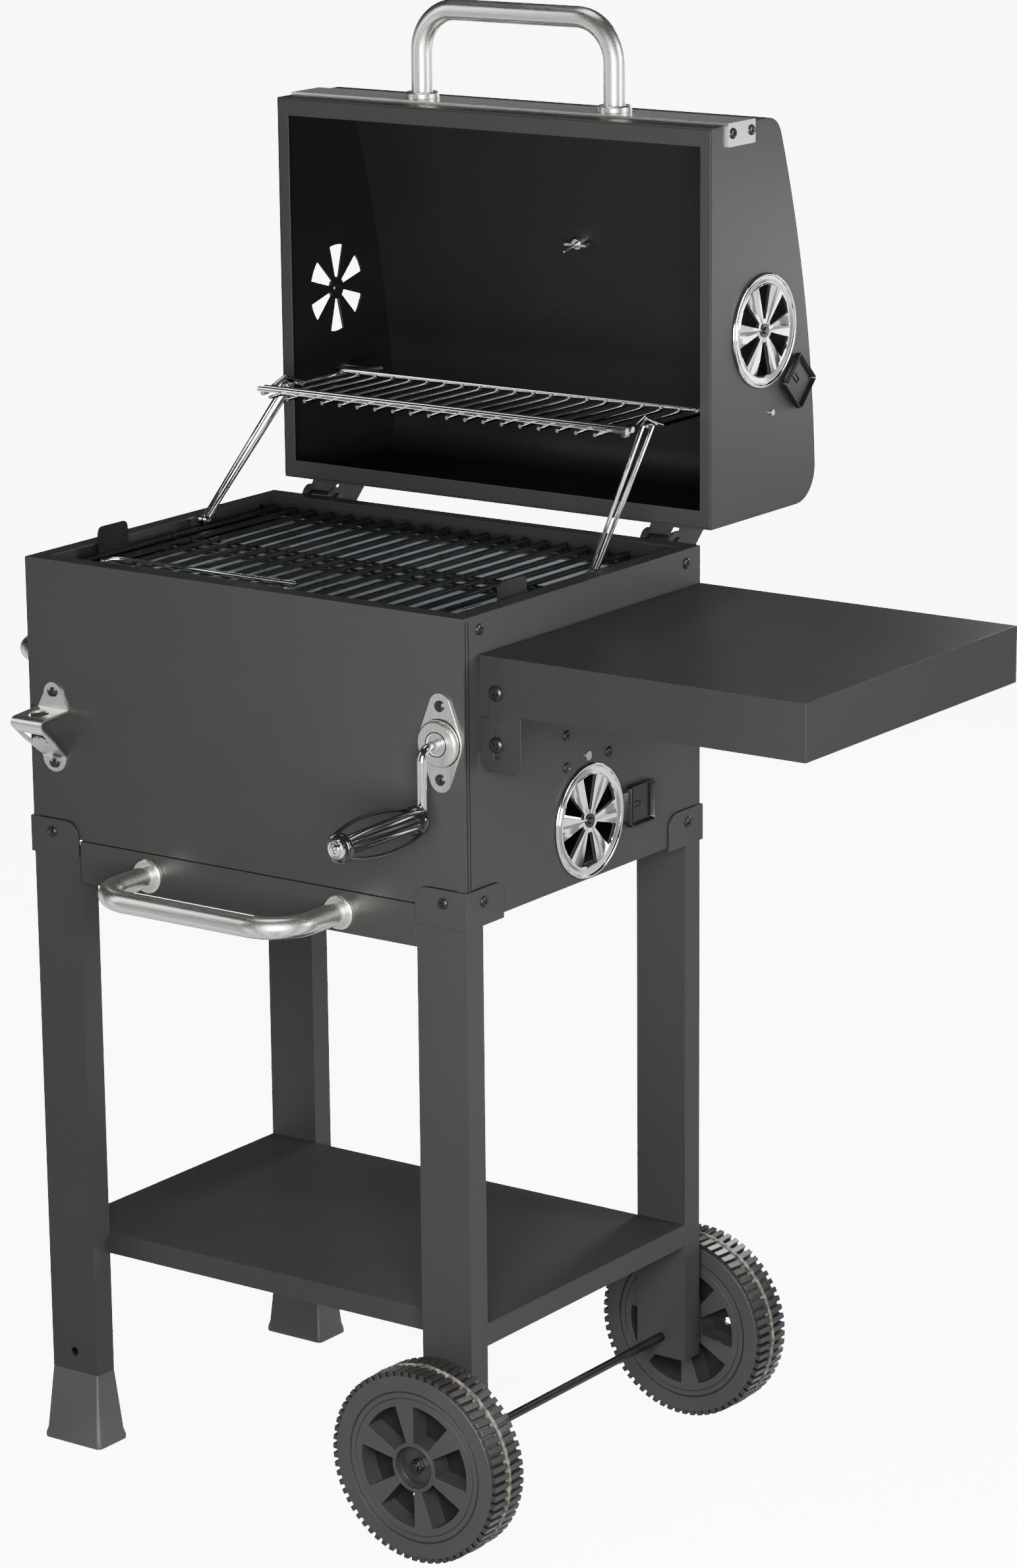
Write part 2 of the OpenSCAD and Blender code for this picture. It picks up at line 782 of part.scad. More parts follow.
module side_table() {
    y1 = table_y + table_d;
    color(coat) place() difference() {
        union() {
            difference() {
                box([table_x, table_y, table_z - table_flange],
                    [table_x + table_w, y1, table_z]);
                box([table_x + sheet, table_y + sheet, table_z - table_flange - cut],
                    [table_x + table_w - sheet, y1 - sheet, table_z - sheet]);
                box([table_x - cut, table_y + sheet, table_z - table_flange - cut],
                    [table_x + sheet + cut, y1 - sheet, table_z - 20]);
            }
            table_hook_tab(table_y);
            table_hook_tab(y1 - sheet);
        }
        for (y = [table_y, y1 - sheet]) {
            along_y([tab_bolt_x, y - cut, tab_bolt_z[0]], tab_bolt_r + run, sheet + 2 * cut);
            box([table_x - cut, y - cut, table_z - 51],
                [table_x + 9, y + sheet + cut, table_z - 35]);
        }
    }
}

// Angle bracket behind the front hook tab, on the right wall
module table_bracket() {
    y0 = table_y + sheet;
    z0 = tab_bolt_z[1] - 9;
    z1 = tab_bolt_z[0] + 8;
    difference() {
        union() {
            box([box_w, y0, z0], [table_x + tab_w - 6, y0 + bracket_t, z1]);
            box([box_w, y0, z0], [box_w + bracket_t, y0 + 30, z1]);
        }
        for (z = tab_bolt_z) along_y([tab_bolt_x, y0 - cut, z], tab_bolt_r + run,
            bracket_t + 2 * cut);
        for (z = table_bracket_screws) along_x([box_w - cut, y0 + 18, z], screw_r + run,
            bracket_t + 2 * cut);
    }
}

module table_brackets() {
    color(coat) place() {
        table_bracket();
        translate([0, 2 * table_mid, 0]) mirror([0, 1, 0]) table_bracket();
    }
}

module table_bracket_holes() {
    for (y = [table_y + sheet + 18, 2 * table_mid - table_y - sheet - 18],
        z = table_bracket_screws)
        along_x([wall_in - cut, y, z], screw_r + run, sheet + 2 * cut);
}

module table_bolt() {
    rotate_extrude() polygon([[0, -sheet - bracket_t - 3], [tab_bolt_r, -sheet - bracket_t - 3],
        [tab_bolt_r, 0], [5.5, 0], [5.5, 2], [4.5, 3], [0, 3]]);
}

module table_bolts() {
    color(black) place() for (z = tab_bolt_z) {
        translate([tab_bolt_x, table_y, z]) rotate([90, 0, 0]) table_bolt();
        translate([tab_bolt_x, table_y + table_d, z]) rotate([-90, 0, 0]) table_bolt();
    }
}

// ---- Handles ----

// U handle standing on z = 0, its feet apart along X
module u_handle() {
    for (s = [-1, 1]) {
        translate([s * handle_span / 2, 0, 0]) tube(handle_reach - handle_bend);
        translate([s * (handle_span / 2 - handle_bend), 0, handle_reach - handle_bend])
            rotate([90, 0, 0]) rotate(s > 0 ? 0 : 90) rotate_extrude(angle = 90)
            translate([handle_bend, 0]) tube_section();
    }
    translate([-handle_span / 2 + handle_bend, 0, handle_reach]) rotate([0, 90, 0])
        tube(handle_span - 2 * handle_bend);
}

module tube_section() {
    difference() {
        circle(d = tube_d);
        circle(d = tube_d - 3);
    }
}

module tube(h) {
    linear_extrude(h) tube_section();
}

module collars() {
    for (s = [-1, 1]) translate([s * handle_span / 2, 0, 0]) rotate_extrude()
        polygon([[tube_d / 2 + run, 0], [collar_d / 2, 0], [collar_d / 2, collar_t - 1.5],
            [collar_d / 2 - 1.5, collar_t], [tube_d / 2 + run, collar_t]]);
}

module at_side_handle() {
    place() translate([0, box_d / 2, crank_z]) rotate([0, -90, 0]) rotate(90) children();
}

module side_handle() {
    color(steel) at_side_handle() u_handle();
}

module side_handle_collars() {
    color(black) at_side_handle() collars();
}

module at_drawer_handle() {
    place() translate([box_w / 2, 0, handle_z]) rotate([90, 0, 0]) children();
}

module drawer_handle() {
    color(steel) at_drawer_handle() u_handle();
}

module drawer_handle_collars() {
    color(black) at_drawer_handle() collars();
}

module at_lid_handle() {
    open_lid() translate([box_w / 2, lid_front - trim_t, trim_z + trim_h / 2])
        rotate([90, 0, 0]) children();
}

module lid_handle() {
    color(steel) at_lid_handle() u_handle();
}

module lid_handle_collars() {
    color(black) at_lid_handle() collars();
}

// ---- Bottle opener ----

// Bent from one strip: ear, shelf, slanted web and lower ear
module bottle_opener() {
    w = 34;
    out = 33;
    top = opener_screws[0] + 8;
    shelf = opener_screws[0] - 16;
    foot = opener_screws[1] + 6;
    low = opener_screws[1] - 8;
    t = 2;
    color(steel) place() difference() {
        translate([opener_x - w / 2, 0, 0]) intersection() {
            rotate([90, 0, 90]) linear_extrude(w) polygon([[0, top], [-t, top], [-t, shelf],
                [-out + 3, shelf], [-out, shelf - 3], [-out, shelf - 5], [-t, foot],
                [-t, low], [0, low], [0, foot + 0.8], [-out + t + 0.4, shelf - 4],
                [-out + t + 1.2, shelf - t], [0, shelf - t]]);
            union() {
                translate([w / 2, cut, top - w / 2]) rotate([90, 0, 0])
                    cylinder(r = w / 2, h = 4 * t);
                translate([0, -out - cut, foot - 1]) cube([w, out + 2 * cut, top - w / 2 - foot + 1]);
                translate([w / 2, cut, low + w / 2]) rotate([90, 0, 0])
                    cylinder(r = w / 2, h = 4 * t);
            }
        }
        for (z = opener_screws) along_y([opener_x, -t - cut, z], screw_r + run, t + 2 * cut);
        translate([opener_x, -out / 2 - 1, shelf - t - cut]) cylinder(r = 9.5, h = t + 2 * cut);
        translate([opener_x - 11, -out - cut, foot + 9]) cube([22, out - 6, 12]);
    }
}

// ---- Crank and pan lift ----

module crank_plate() {
    slant = asin((plate_w / 2 - plate_end_r) / plate_screw);
    side = [cos(slant), sin(slant)];
    middle = plate_w / 2 * side;
    end = [0, plate_screw] + plate_end_r * side;
    color(steel) place() difference() {
        union() {
            translate([crank_x, 0, crank_z]) rotate([90, 0, 0]) linear_extrude(bracket_t) {
                circle(d = plate_w);
                for (s = [-1, 1]) {
                    translate([0, s * plate_screw]) circle(r = plate_end_r);
                    polygon([s * middle, s * end, [-s * end[0], s * end[1]],
                        [-s * middle[0], s * middle[1]]]);
                }
            }
            translate([crank_x, 0, crank_z]) rotate([90, 0, 0]) rotate_extrude()
                polygon([[0, 0], [boss_r, 0], [boss_r, boss_t], [boss_r - 2, boss_t + bracket_t],
                    [10, boss_t + bracket_t], [9, boss_t], [0, boss_t]]);
        }
        along_y([crank_x, -boss_t - bracket_t - cut, crank_z], rod_r + run,
            boss_t + bracket_t + 2 * cut);
        for (z = [-1, 1]) along_y([crank_x, -bracket_t - cut, crank_z + z * plate_screw],
            screw_r + run, bracket_t + 2 * cut);
    }
}

// Shaft, arm and grip spindle bent from one rod
module crank_rod() {
    shaft_end = lift_y + cheek_gap / 2 + bracket_t + 3;
    color(chrome) place() translate([crank_x, 0, crank_z]) {
        along_y([0, crank_front + rod_bend, 0], rod_r, shaft_end - crank_front - rod_bend);
        translate([0, crank_front + rod_bend, -rod_bend]) rotate([90, 0, 90]) rotate(90)
            rotate_extrude(angle = 90) translate([rod_bend, 0]) circle(r = rod_r);
        translate([0, crank_front, -crank_arm + grip_bend])
            cylinder(r = rod_r, h = crank_arm - rod_bend - grip_bend);
        translate([0, crank_front - grip_bend, -crank_arm + grip_bend]) rotate([90, 0, 90])
            rotate(-90) rotate_extrude(angle = 90) translate([grip_bend, 0]) circle(r = rod_r);
        translate([0, grip_end, -crank_arm]) rotate([-90, 0, 0])
            cylinder(r = rod_r, h = crank_front - grip_bend - grip_end);
        translate([0, grip_end, -crank_arm]) rotate([90, 0, 0]) rotate_extrude()
            polygon([[0, 0], [8, 0], [8, end_washer_t], [5.5, end_washer_t],
                [5.5, end_washer_t + 2.5], [3.5, end_washer_t + end_screw_t],
                [0, end_washer_t + end_screw_t]]);
    }
}

// Involute of the base circle, as the polar angle lost at radius r
function involute(r) = let (a = acos(min(1, base_r / r))) tan(a) * 180 / PI - a;

// Half of a tooth's angle at radius r
function tooth_half(r) = 90 / pinion_teeth - backlash / 4 / pitch_r * 180 / PI
    + involute(pitch_r) - involute(max(r, base_r));

module pinion_outline() {
    steps = 5;
    radii = [for (i = [0 : steps]) root_r + (tip_r - root_r) * i / steps];
    polygon([for (t = [0 : pinion_teeth - 1], side = [-1, 1], i = [0 : steps])
        let (r = side < 0 ? radii[i] : radii[steps - i],
            a = t * 360 / pinion_teeth + side * tooth_half(r))
        r * [cos(a), sin(a)]]);
}

module crank_pinion() {
    color(steel) place() translate([crank_x, pinion_y, crank_z]) rotate([-90, 0, 0])
        difference() {
            union() {
                linear_extrude(pinion_w) pinion_outline();
                cylinder(r = root_r - 0.5, h = pinion_w + 4);
            }
            translate([0, 0, -cut]) cylinder(r = rod_r + run, h = pinion_w + 4 + 2 * cut);
        }
}

module grip_core() {
    flutes = 12;
    core_r = 7.5;
    color(black) place() translate([crank_x, grip_end, crank_z - crank_arm]) rotate([-90, 0, 0])
        difference() {
            union() {
                linear_extrude(grip_len - gap) difference() {
                    circle(r = core_r);
                    for (i = [0 : flutes - 1]) rotate(i * 360 / flutes) translate([core_r + 0.6, 0])
                        circle(r = 1.2, $fn = 16);
                }
                for (z = [gap, grip_len - 6 - gap]) translate([0, 0, z]) rotate_extrude()
                    polygon([[0, 0], [grip_d / 2 - 1, 0], [grip_d / 2, 1], [grip_d / 2, 5],
                        [grip_d / 2 - 1, 6], [0, 6]]);
            }
            translate([0, 0, -cut]) cylinder(r = rod_r + run, h = grip_len + 2 * cut);
        }
}

// Four bowed ribs between two end rings that sit on the collars' inner faces
module grip_cage() {
    z0 = 6 + gap;
    z1 = grip_len - 6 - gap;
    rib = 1.6;
    half = (z1 - z0) / 2;
    bow_r = (half * half + cage_bow * cage_bow) / (2 * cage_bow);
    sweep = asin(half / bow_r);
    ring_r = grip_d / 2 - 1;
    color(black) place() translate([crank_x, grip_end, crank_z - crank_arm]) rotate([-90, 0, 0])
        intersection() {
            translate([0, 0, z0]) cylinder(r = grip_d, h = z1 - z0);
            union() {
                for (z = [z0, z1 - 4]) translate([0, 0, z]) difference() {
                    cylinder(r = ring_r + rib, h = 4);
                    translate([0, 0, -cut]) cylinder(r = ring_r - rib, h = 4 + 2 * cut);
                }
                for (i = [0 : 3]) rotate(i * 90 + 45)
                    translate([ring_r + cage_bow - bow_r, 0, (z0 + z1) / 2])
                    rotate([90, 0, 0]) rotate([0, 0, -sweep]) rotate_extrude(angle = 2 * sweep, $fn = 240)
                    translate([bow_r - rib, -3]) square([2 * rib, 6]);
            }
        }
}

// Bracket on the right wall with two cheeks that carry the crank's shaft, and the guide pin
module lift_bracket() {
    x0 = wall_in - bracket_t;
    cheek_x = crank_x - 12;
    color(steel) place() {
        difference() {
            union() {
                box([x0, lift_screws[0][0] - 7, bracket_z0], [wall_in, lift_screws[2][0] + 7, bracket_z1]);
                for (y = [lift_y - cheek_gap / 2 - bracket_t, lift_y + cheek_gap / 2])
                    box([cheek_x, y, crank_z - 12], [wall_in, y + bracket_t, bracket_z1 - 2]);
            }
            for (s = lift_screws) along_x([x0 - cut, s[0], s[1]], screw_r + run, bracket_t + 2 * cut);
            along_x([x0 - cut, lift_y, pin_z], pin_r + run, bracket_t + 2 * cut);
            for (y = [lift_y - cheek_gap / 2 - bracket_t, lift_y + cheek_gap / 2])
                along_y([crank_x, y - cut, crank_z], rod_r + run, bracket_t + 2 * cut);
        }
        translate([bar_x - gap, lift_y, pin_z]) rotate([0, 90, 0]) {
            translate([0, 0, -1.5]) cylinder(r = pin_r + 1.8, h = 1.5);
            cylinder(r = pin_r, h = box_w + 1 - bar_x + gap);
        }
    }
}

// Rack bar, cross bar and left upright of the pan's cradle, in one bent and welded strip
module lift_cradle() {
    rack_z0 = crank_z - 3 * gear_pitch;
    rack_z1 = crank_z + lift_travel + 3 * gear_pitch;
    left_x = guide_x + gap;
    slot_r = pin_r + run;
    color(steel) place() difference() {
        union() {
            box([bar_x, bar_y0, cradle_bottom], [bar_x + bar_t, bar_y1, shelf_top]);
            box([pan_x + pan_w - pan_flange + 1, bar_y0, shelf_top - sheet],
                [bar_x + bar_t, bar_y1, shelf_top]);
            box([left_x, bar_y0, cradle_bottom], [bar_x + bar_t, bar_y1, cradle_bottom + bar_t]);
            box([left_x, bar_y0, cradle_bottom], [left_x + bar_t, bar_y1, shelf_top]);
            box([left_x, bar_y0, shelf_top - sheet], [pan_x + pan_flange - 1, bar_y1, shelf_top]);
            intersection() {
                translate([bar_x, pinion_y + pinion_w, 0]) rotate([90, 0, 0])
                    linear_extrude(pinion_w) rack_outline();
                box([crank_x, pinion_y - cut, rack_z0],
                    [bar_x + cut, pinion_y + pinion_w + cut, rack_z1]);
            }
        }
        pin_slot(slot_r);
    }
}

// Slot for the guide pin
module pin_slot(r) {
    for (z = [pin_z, pin_z + lift_travel]) along_x([bar_x - cut, lift_y, z], r, bar_t + 2 * cut);
    box([bar_x - cut, lift_y - r, pin_z], [bar_x + bar_t + cut, lift_y + r, pin_z + lift_travel]);
}

// Rack teeth towards -X with a gap at the shaft's height; x = 0 is the teeth's root
module rack_outline() {
    add = 0.9 * gear_module;
    depth = 1.25 * gear_module + add;
    half = gear_pitch / 4 - backlash / 4;
    grow = tan(pressure);
    root_half = half + 1.25 * gear_module * grow;
    tip_half = half - add * grow;
    count = ceil(lift_travel / gear_pitch) + 8;
    polygon(concat([[1, crank_z - 5 * gear_pitch]],
        [for (i = [-4 : count]) let (z = crank_z + (i + 0.5) * gear_pitch)
            each [[0, z - root_half], [-depth, z - tip_half], [-depth, z + tip_half],
                [0, z + root_half]]],
        [[1, crank_z + (count + 2) * gear_pitch]]));
}

// Channel on the left wall that the cradle's left upright slides in
module lift_guide() {
    y0 = bar_y0 - gap - bracket_t;
    y1 = bar_y1 + gap + bracket_t;
    z0 = cradle_bottom + bar_t + 6;
    z1 = guide_mid + guide_screw + 7;
    x1 = guide_x + gap + bar_t + gap;
    color(steel) place() difference() {
        union() {
            box([sheet, y0, z0], [sheet + bracket_t, y1, z1]);
            for (y = [y0, y1 - bracket_t]) box([sheet, y, z0], [x1 + bracket_t, y + bracket_t, z1]);
            box([x1, y0, z0], [x1 + bracket_t, y0 + 9, z1]);
            box([x1, y1 - 9, z0], [x1 + bracket_t, y1, z1]);
        }
        for (z = [-1, 1]) along_x([sheet - cut, lift_y, guide_mid + z * guide_screw],
            screw_r + run, bracket_t + 2 * cut);
    }
}

module pan_solid(inset, z0) {
    x0 = pan_x + pan_flange + inset;
    x1 = pan_x + pan_w - pan_flange - inset;
    y0 = pan_y + pan_flange + inset;
    y1 = pan_y + pan_d - pan_flange - inset;
    intersection() {
        translate([0, box_d, 0]) rotate([90, 0, 0]) linear_extrude(box_d)
            polygon([[x0, pan_top], [x1, pan_top], [x1 - pan_slope, z0], [x0 + pan_slope, z0]]);
        rotate([90, 0, 90]) linear_extrude(box_w)
            polygon([[y0, pan_top], [y1, pan_top], [y1 - pan_slope, z0], [y0 + pan_slope, z0]]);
    }
}

// Shallow pan with sloping sides, air slots and a flange that hangs on the cradle
module charcoal_pan() {
    slot_rows = 4;
    slot_cols = 7;
    z0 = pan_top - pan_h;
    color(enamel) place() difference() {
        union() {
            pan_solid(0, z0);
            box([pan_x, pan_y, pan_top - sheet], [pan_x + pan_w, pan_y + pan_d, pan_top]);
        }
        translate([0, 0, sheet]) pan_solid(sheet, z0);
        box([pan_x + pan_flange + sheet, pan_y + pan_flange + sheet, pan_top - sheet - 0.1],
            [pan_x + pan_w - pan_flange - sheet, pan_y + pan_d - pan_flange - sheet, pan_top + cut]);
        for (i = [0 : slot_cols - 1], j = [0 : slot_rows - 1])
            translate([pan_x + pan_w * (i + 1) / (slot_cols + 1),
                pan_y + pan_d * (j + 1) / (slot_rows + 1), z0 - cut])
                round_bar(6, 36, 2.9, sheet + 2 * cut);
    }
}

// ---- Ash drawer ----

module drawer_front() {
    color(coat) place() {
        box([drawer_x, 0, drawer_bottom], [box_w - drawer_x, sheet, drawer_top]);
        for (side = [0, 1]) translate([side * box_w, 0, 0]) mirror([side, 0, 0])
            box([drawer_x, 0, drawer_bottom], [drawer_x + sheet, runner_y - 2, drawer_top]);
    }
}

module ash_tray() {
    color(steel) place() difference() {
        box([tray_x, sheet, tray_z], [box_w - tray_x, sheet + tray_d, tray_top]);
        box([tray_x + sheet, 2 * sheet, tray_z + sheet],
            [box_w - tray_x - sheet, tray_d, tray_top + cut]);
    }
}

// ---- Cooking grates ----

// Ledges on the side walls that carry the ends of the cross rods
module grate_rests() {
    color(coat) place() for (side = [0, 1]) translate([side * box_w, 0, 0]) mirror([side, 0, 0]) {
        box([sheet, 20, rest_z - sheet], [rest_w, box_d - 20, rest_z]);
        box([sheet, 20, rest_z - 9], [2 * sheet, box_d - 20, rest_z]);
    }
}

// Half grate: rods along Y on cross rods along X, their outer tips bent down
module grate_half(y0, y1, tip_y, cross) {
    tip = tip_y > 0 ? y1 : y0;
    for (i = [0 : grate_rods - 1]) {
        x = grate_x0 + i * grate_step;
        rod([[x, tip_y > 0 ? y0 : y1, grate_rod_z], [x, tip - tip_y * 3, grate_rod_z],
            [x, tip, grate_rod_z - 6]], grate_rod_d / 2);
    }
    for (y = cross) rod([[4, y, cross_rod_z], [box_w - 4, y, cross_rod_z]], cross_rod_d / 2);
}

module grate_front() {
    y0 = rim_flange + 3;
    y1 = grate_split - 1;
    ear_y = 95;
    ear_r = 6;
    ear_top = rim_z + ear_h - grate_rod_z;
    color(black) place() {
        grate_half(y0, y1, -1, [y0 + 14, y1 - 14]);
        for (x = [grate_x0, box_w - grate_x0]) translate([x - sheet / 2, ear_y, grate_rod_z])
            rotate([90, 0, 90]) linear_extrude(sheet) {
                translate([-ear_w / 2, 0]) square([ear_w, ear_top - ear_r]);
                translate([-ear_w / 2 + ear_r, 0]) square([ear_w - 2 * ear_r, ear_top]);
                for (s = [-1, 1]) translate([s * (ear_w / 2 - ear_r), ear_top - ear_r])
                    circle(r = ear_r);
            }
        for (x = curl_x) difference() {
            union() {
                along_x([x - 2, bail_y, bail_z], bail_wire / 2 + 2.5, 4);
                box([x - 2, bail_y - 2, grate_rod_z], [x + 2, bail_y + 2, bail_z]);
            }
            along_x([x - 2 - cut, bail_y, bail_z], bail_wire / 2 + run, 4 + 2 * cut);
        }
    }
}

module grate_rear() {
    y0 = grate_split + 1;
    y1 = box_d - rim_flange - 3;
    color(black) place() grate_half(y0, y1, 1, [y0 + 14, y1 - 14]);
}

// Wire bail lying on the front grate, turning in its two curls
module grate_bail() {
    r = bail_wire / 2;
    color(chrome) place() wire([[bail_x1, bail_y, bail_z], [bail_x0 + 6, bail_y, bail_z],
        [bail_x0, bail_y + 6, bail_z], [bail_x0, bail_y + bail_w - 6, bail_z],
        [bail_x0 + 6, bail_y + bail_w, bail_z], [bail_x1 - 6, bail_y + bail_w, bail_z],
        [bail_x1, bail_y + bail_w - 6, bail_z], [bail_x1, bail_y, bail_z],
        [bail_x1 - 6, bail_y, bail_z]], r);
}

// ---- Hinges ----

// U bracket on the back wall whose ears hold the hinge bolt
module hinge_ear() {
    inner = hinge_w / 2 - bracket_t - gap;
    z0 = rim_z - 56;
    translate([0, box_d, 0]) difference() {
        union() {
            box([-inner, 0, z0], [inner, bracket_t, hinge_z - 2]);
            for (s = [0, 1]) mirror([s, 0, 0]) {
                along_x([inner - bracket_t, hinge_back, hinge_z], hinge_r - 1, bracket_t);
                translate([inner, 0, 0]) rotate([90, 0, -90]) linear_extrude(bracket_t)
                    polygon([[0, z0], [-4, z0], [-hinge_back - hinge_r + 1, hinge_z],
                        [-hinge_back, hinge_z], [0, hinge_z - 1]]);
            }
        }
        along_x([-hinge_w, hinge_back, hinge_z], hinge_bolt_r + run, 2 * hinge_w);
        for (z = ear_screws) along_y([0, -cut, z], screw_r + run, bracket_t + 2 * cut);
    }
}

module at_hinges() {
    for (x = [hinge_in, box_w - hinge_in]) translate([x, 0, 0]) children();
}

module hinge_ears() {
    color(coat) place() at_hinges() hinge_ear();
}

module hinge_barrels() {
    inner = hinge_w / 2 - 2 * bracket_t - gap;
    color(black) place() at_hinges() difference() {
        along_x([-inner, hinge_y, hinge_z], 6, 2 * inner);
        along_x([-inner - cut, hinge_y, hinge_z], hinge_bolt_r + run, 2 * inner + 2 * cut);
    }
}

module hinge_bolts() {
    color(black) place() at_hinges() {
        along_x([-hinge_w / 2 - gap, hinge_y, hinge_z], hinge_bolt_r, hinge_w + 2 * gap);
        along_x([-hinge_w / 2 - gap - 3, hinge_y, hinge_z], 5.5, 3);
        along_x([hinge_w / 2 + gap, hinge_y, hinge_z], 5.5, 3);
    }
}

// U bracket on the lid's back, drawn closed; its cheeks run outside the ears
module lid_hinge_bracket() {
    top = lid_rim_z + 41;
    difference() {
        union() {
            box([-hinge_w / 2, lid_back, lid_rim_z + 0.5], [hinge_w / 2, lid_back + sheet, top]);
            for (s = [0, 1]) mirror([s, 0, 0]) {
                along_x([hinge_w / 2 - bracket_t, hinge_y, hinge_z], hinge_r, bracket_t);
                translate([hinge_w / 2, 0, 0]) rotate([90, 0, -90]) linear_extrude(bracket_t)
                    polygon([[-lid_back, top], [-lid_back, lid_rim_z + 0.5],
                        [-hinge_y + hinge_r - 1.5, hinge_z + 3.8], [-hinge_y, hinge_z],
                        [-hinge_y - hinge_r, hinge_z], [-hinge_y - hinge_r, top - 22],
                        [-lid_back - 4, top]]);
            }
        }
        along_x([-hinge_w, hinge_y, hinge_z], hinge_bolt_r + run, 2 * hinge_w);
    }
}

module lid_hinge_brackets() {
    color(coat) open_lid() at_hinges() lid_hinge_bracket();
}

// ---- Lid, drawn closed ----

// Side outline of the lid in Y and Z, moved in by an inset
function arc(c, r, a0, a1, n) = [for (i = [0 : n]) let (a = a0 + (a1 - a0) * i / n)
    c + r * [cos(a), sin(a)]];

function lid_outline(inset) = let (
    centre = [crown_y, crown_z],
    front_dir = lid_front_corner - centre,
    back_dir = lid_back_corner - centre,
    front_a = atan2(front_dir[1], front_dir[0]),
    back_a = atan2(back_dir[1], back_dir[0]))
    concat([[lid_front + inset, lid_rim_z]],
        arc(lid_front_corner, lid_front_r - inset, 180, front_a, 8),
        arc(centre, crown_r - inset, front_a, back_a, 18),
        arc(lid_back_corner, lid_back_r - inset, back_a, 0, 8),
        [[lid_back - inset, lid_rim_z]]);

module lid_profile(inset, x0, x1) {
    translate([x0, 0, 0]) rotate([90, 0, 90]) linear_extrude(x1 - x0) polygon(lid_outline(inset));
}

module lid_shell() {
    color(coat) open_lid() difference() {
        lid_profile(0, 0, box_w);
        difference() {
            lid_profile(sheet, -cut, box_w + cut);
            box([-2 * cut, lid_front + sheet, lid_rim_z - cut],
                [box_w + 2 * cut, lid_back - sheet, lid_rim_z]);
        }
        translate([0, crown_y, crown_z]) rotate([thermo_tilt, 0, 0])
            translate([box_w / 2, 0, crown_r - 4]) cylinder(r = thermo_stem_r + run, h = 8);
    }
}

module vent_tools(s) {
    translate([s > 0 ? wall_in - cut : sheet + cut, lid_vent_y, lid_vent_z])
        rotate([0, s > 0 ? 90 : -90, 0]) {
            rotate(180 / vent_windows) petals(sheet + 2 * cut);
            cylinder(r = screw_r + run, h = sheet + 2 * cut);
        }
}

module lid_sides() {
    pin_closed_y = hinge_y - link_z;
    pin_closed_z = hinge_z + link_y;
    color(coat) open_lid() difference() {
        union() {
            lid_profile(sheet, 0, sheet);
            lid_profile(sheet, wall_in, box_w);
        }
        vent_tools(-1);
        vent_tools(1);
        along_x([-cut, pin_closed_y, pin_closed_z], rack_r + run, box_w + 2 * cut);
        for (z = [trim_z + trim_screw_inset, trim_z + trim_h - trim_screw_inset])
            along_x([-cut, lid_front + 7, z], screw_r + run, box_w + 2 * cut);
    }
}

module lid_rim() {
    color(coat) open_lid() difference() {
        box([sheet, lid_front + sheet, lid_rim_z], [wall_in, lid_back - sheet, lid_rim_z + sheet]);
        box([lid_side_flange, lid_front + rim_flange, lid_rim_z - cut],
            [box_w - lid_side_flange, lid_back - rim_flange, lid_rim_z + sheet + cut]);
    }
}

module lid_trim() {
    t = trim_t;
    color(steel) open_lid() difference() {
        union() {
            box([-t, lid_front - t, trim_z], [box_w + t, lid_front, trim_z + trim_h]);
            for (x = [-t, box_w]) box([x, lid_front - t, trim_z],
                [x + t, lid_front + trim_tab - t, trim_z + trim_h]);
        }
        for (z = [trim_z + trim_screw_inset, trim_z + trim_h - trim_screw_inset])
            along_x([-t - cut, lid_front + 7, z], screw_r + run, box_w + 2 * t + 2 * cut);
    }
}

// Dial on the crown with its stem through the lid and a wing nut under the sheet
module thermometer() {
    color(steel) open_lid() translate([box_w / 2, crown_y, crown_z]) rotate([thermo_tilt, 0, 0])
        translate([0, 0, crown_r]) {
            rotate_extrude() polygon([[0, -thermo_stem_len], [1, -thermo_stem_len],
                [thermo_stem_r - 1, -thermo_stem_len + 2], [thermo_stem_r - 1, -12],
                [thermo_stem_r, -12], [thermo_stem_r, 0.4], [25, 0.4], [26, 1.5], [26, 9], [24, 11],
                [22, 11], [21, 9], [0, 9]]);
            difference() {
                union() {
                    translate([0, 0, -sheet - thermo_nut_h]) cylinder(r = 5, h = thermo_nut_h - 0.1);
                    for (s = [-1, 1]) translate([s * 8 - 4, -1.2, -sheet - thermo_nut_h - 2])
                        cube([8, 2.4, thermo_nut_h - 1]);
                }
                translate([0, 0, -sheet - thermo_nut_h - 3])
                    cylinder(r = thermo_stem_r + run, h = thermo_nut_h + 4);
            }
        }
}

// ---- Vents ----

// Disc on the Z axis lying on z = 0, with its tab towards +X and its windows turned from it
module vent_disc(window_turn) {
    steps = 8;
    bead = 1.2;
    floor_z = 0.4;
    band_z = 1.8;
    difference() {
        union() {
            rotate_extrude($fn = 96) polygon(concat(
                [[screw_r + run, floor_z], [vent_window_out + 1.4, floor_z],
                    [vent_window_out + 3, band_z], [vent_r - 2 * bead, band_z],
                    [vent_r - 2 * bead, gap]],
                [[vent_r - bead, gap]],
                arc([vent_r - bead, gap + bead], bead, -60, 150, steps),
                [[vent_window_out + 2.8, band_z + vent_t], [vent_window_out + 1, floor_z + vent_t],
                    [screw_r + run, floor_z + vent_t]]));
            translate([vent_r - 3, -vent_tab_w / 2, gap]) cube([11, vent_tab_w, vent_t]);
        }
        translate([0, 0, -cut]) rotate(window_turn) petals(3 * cut + vent_t);
    }
}

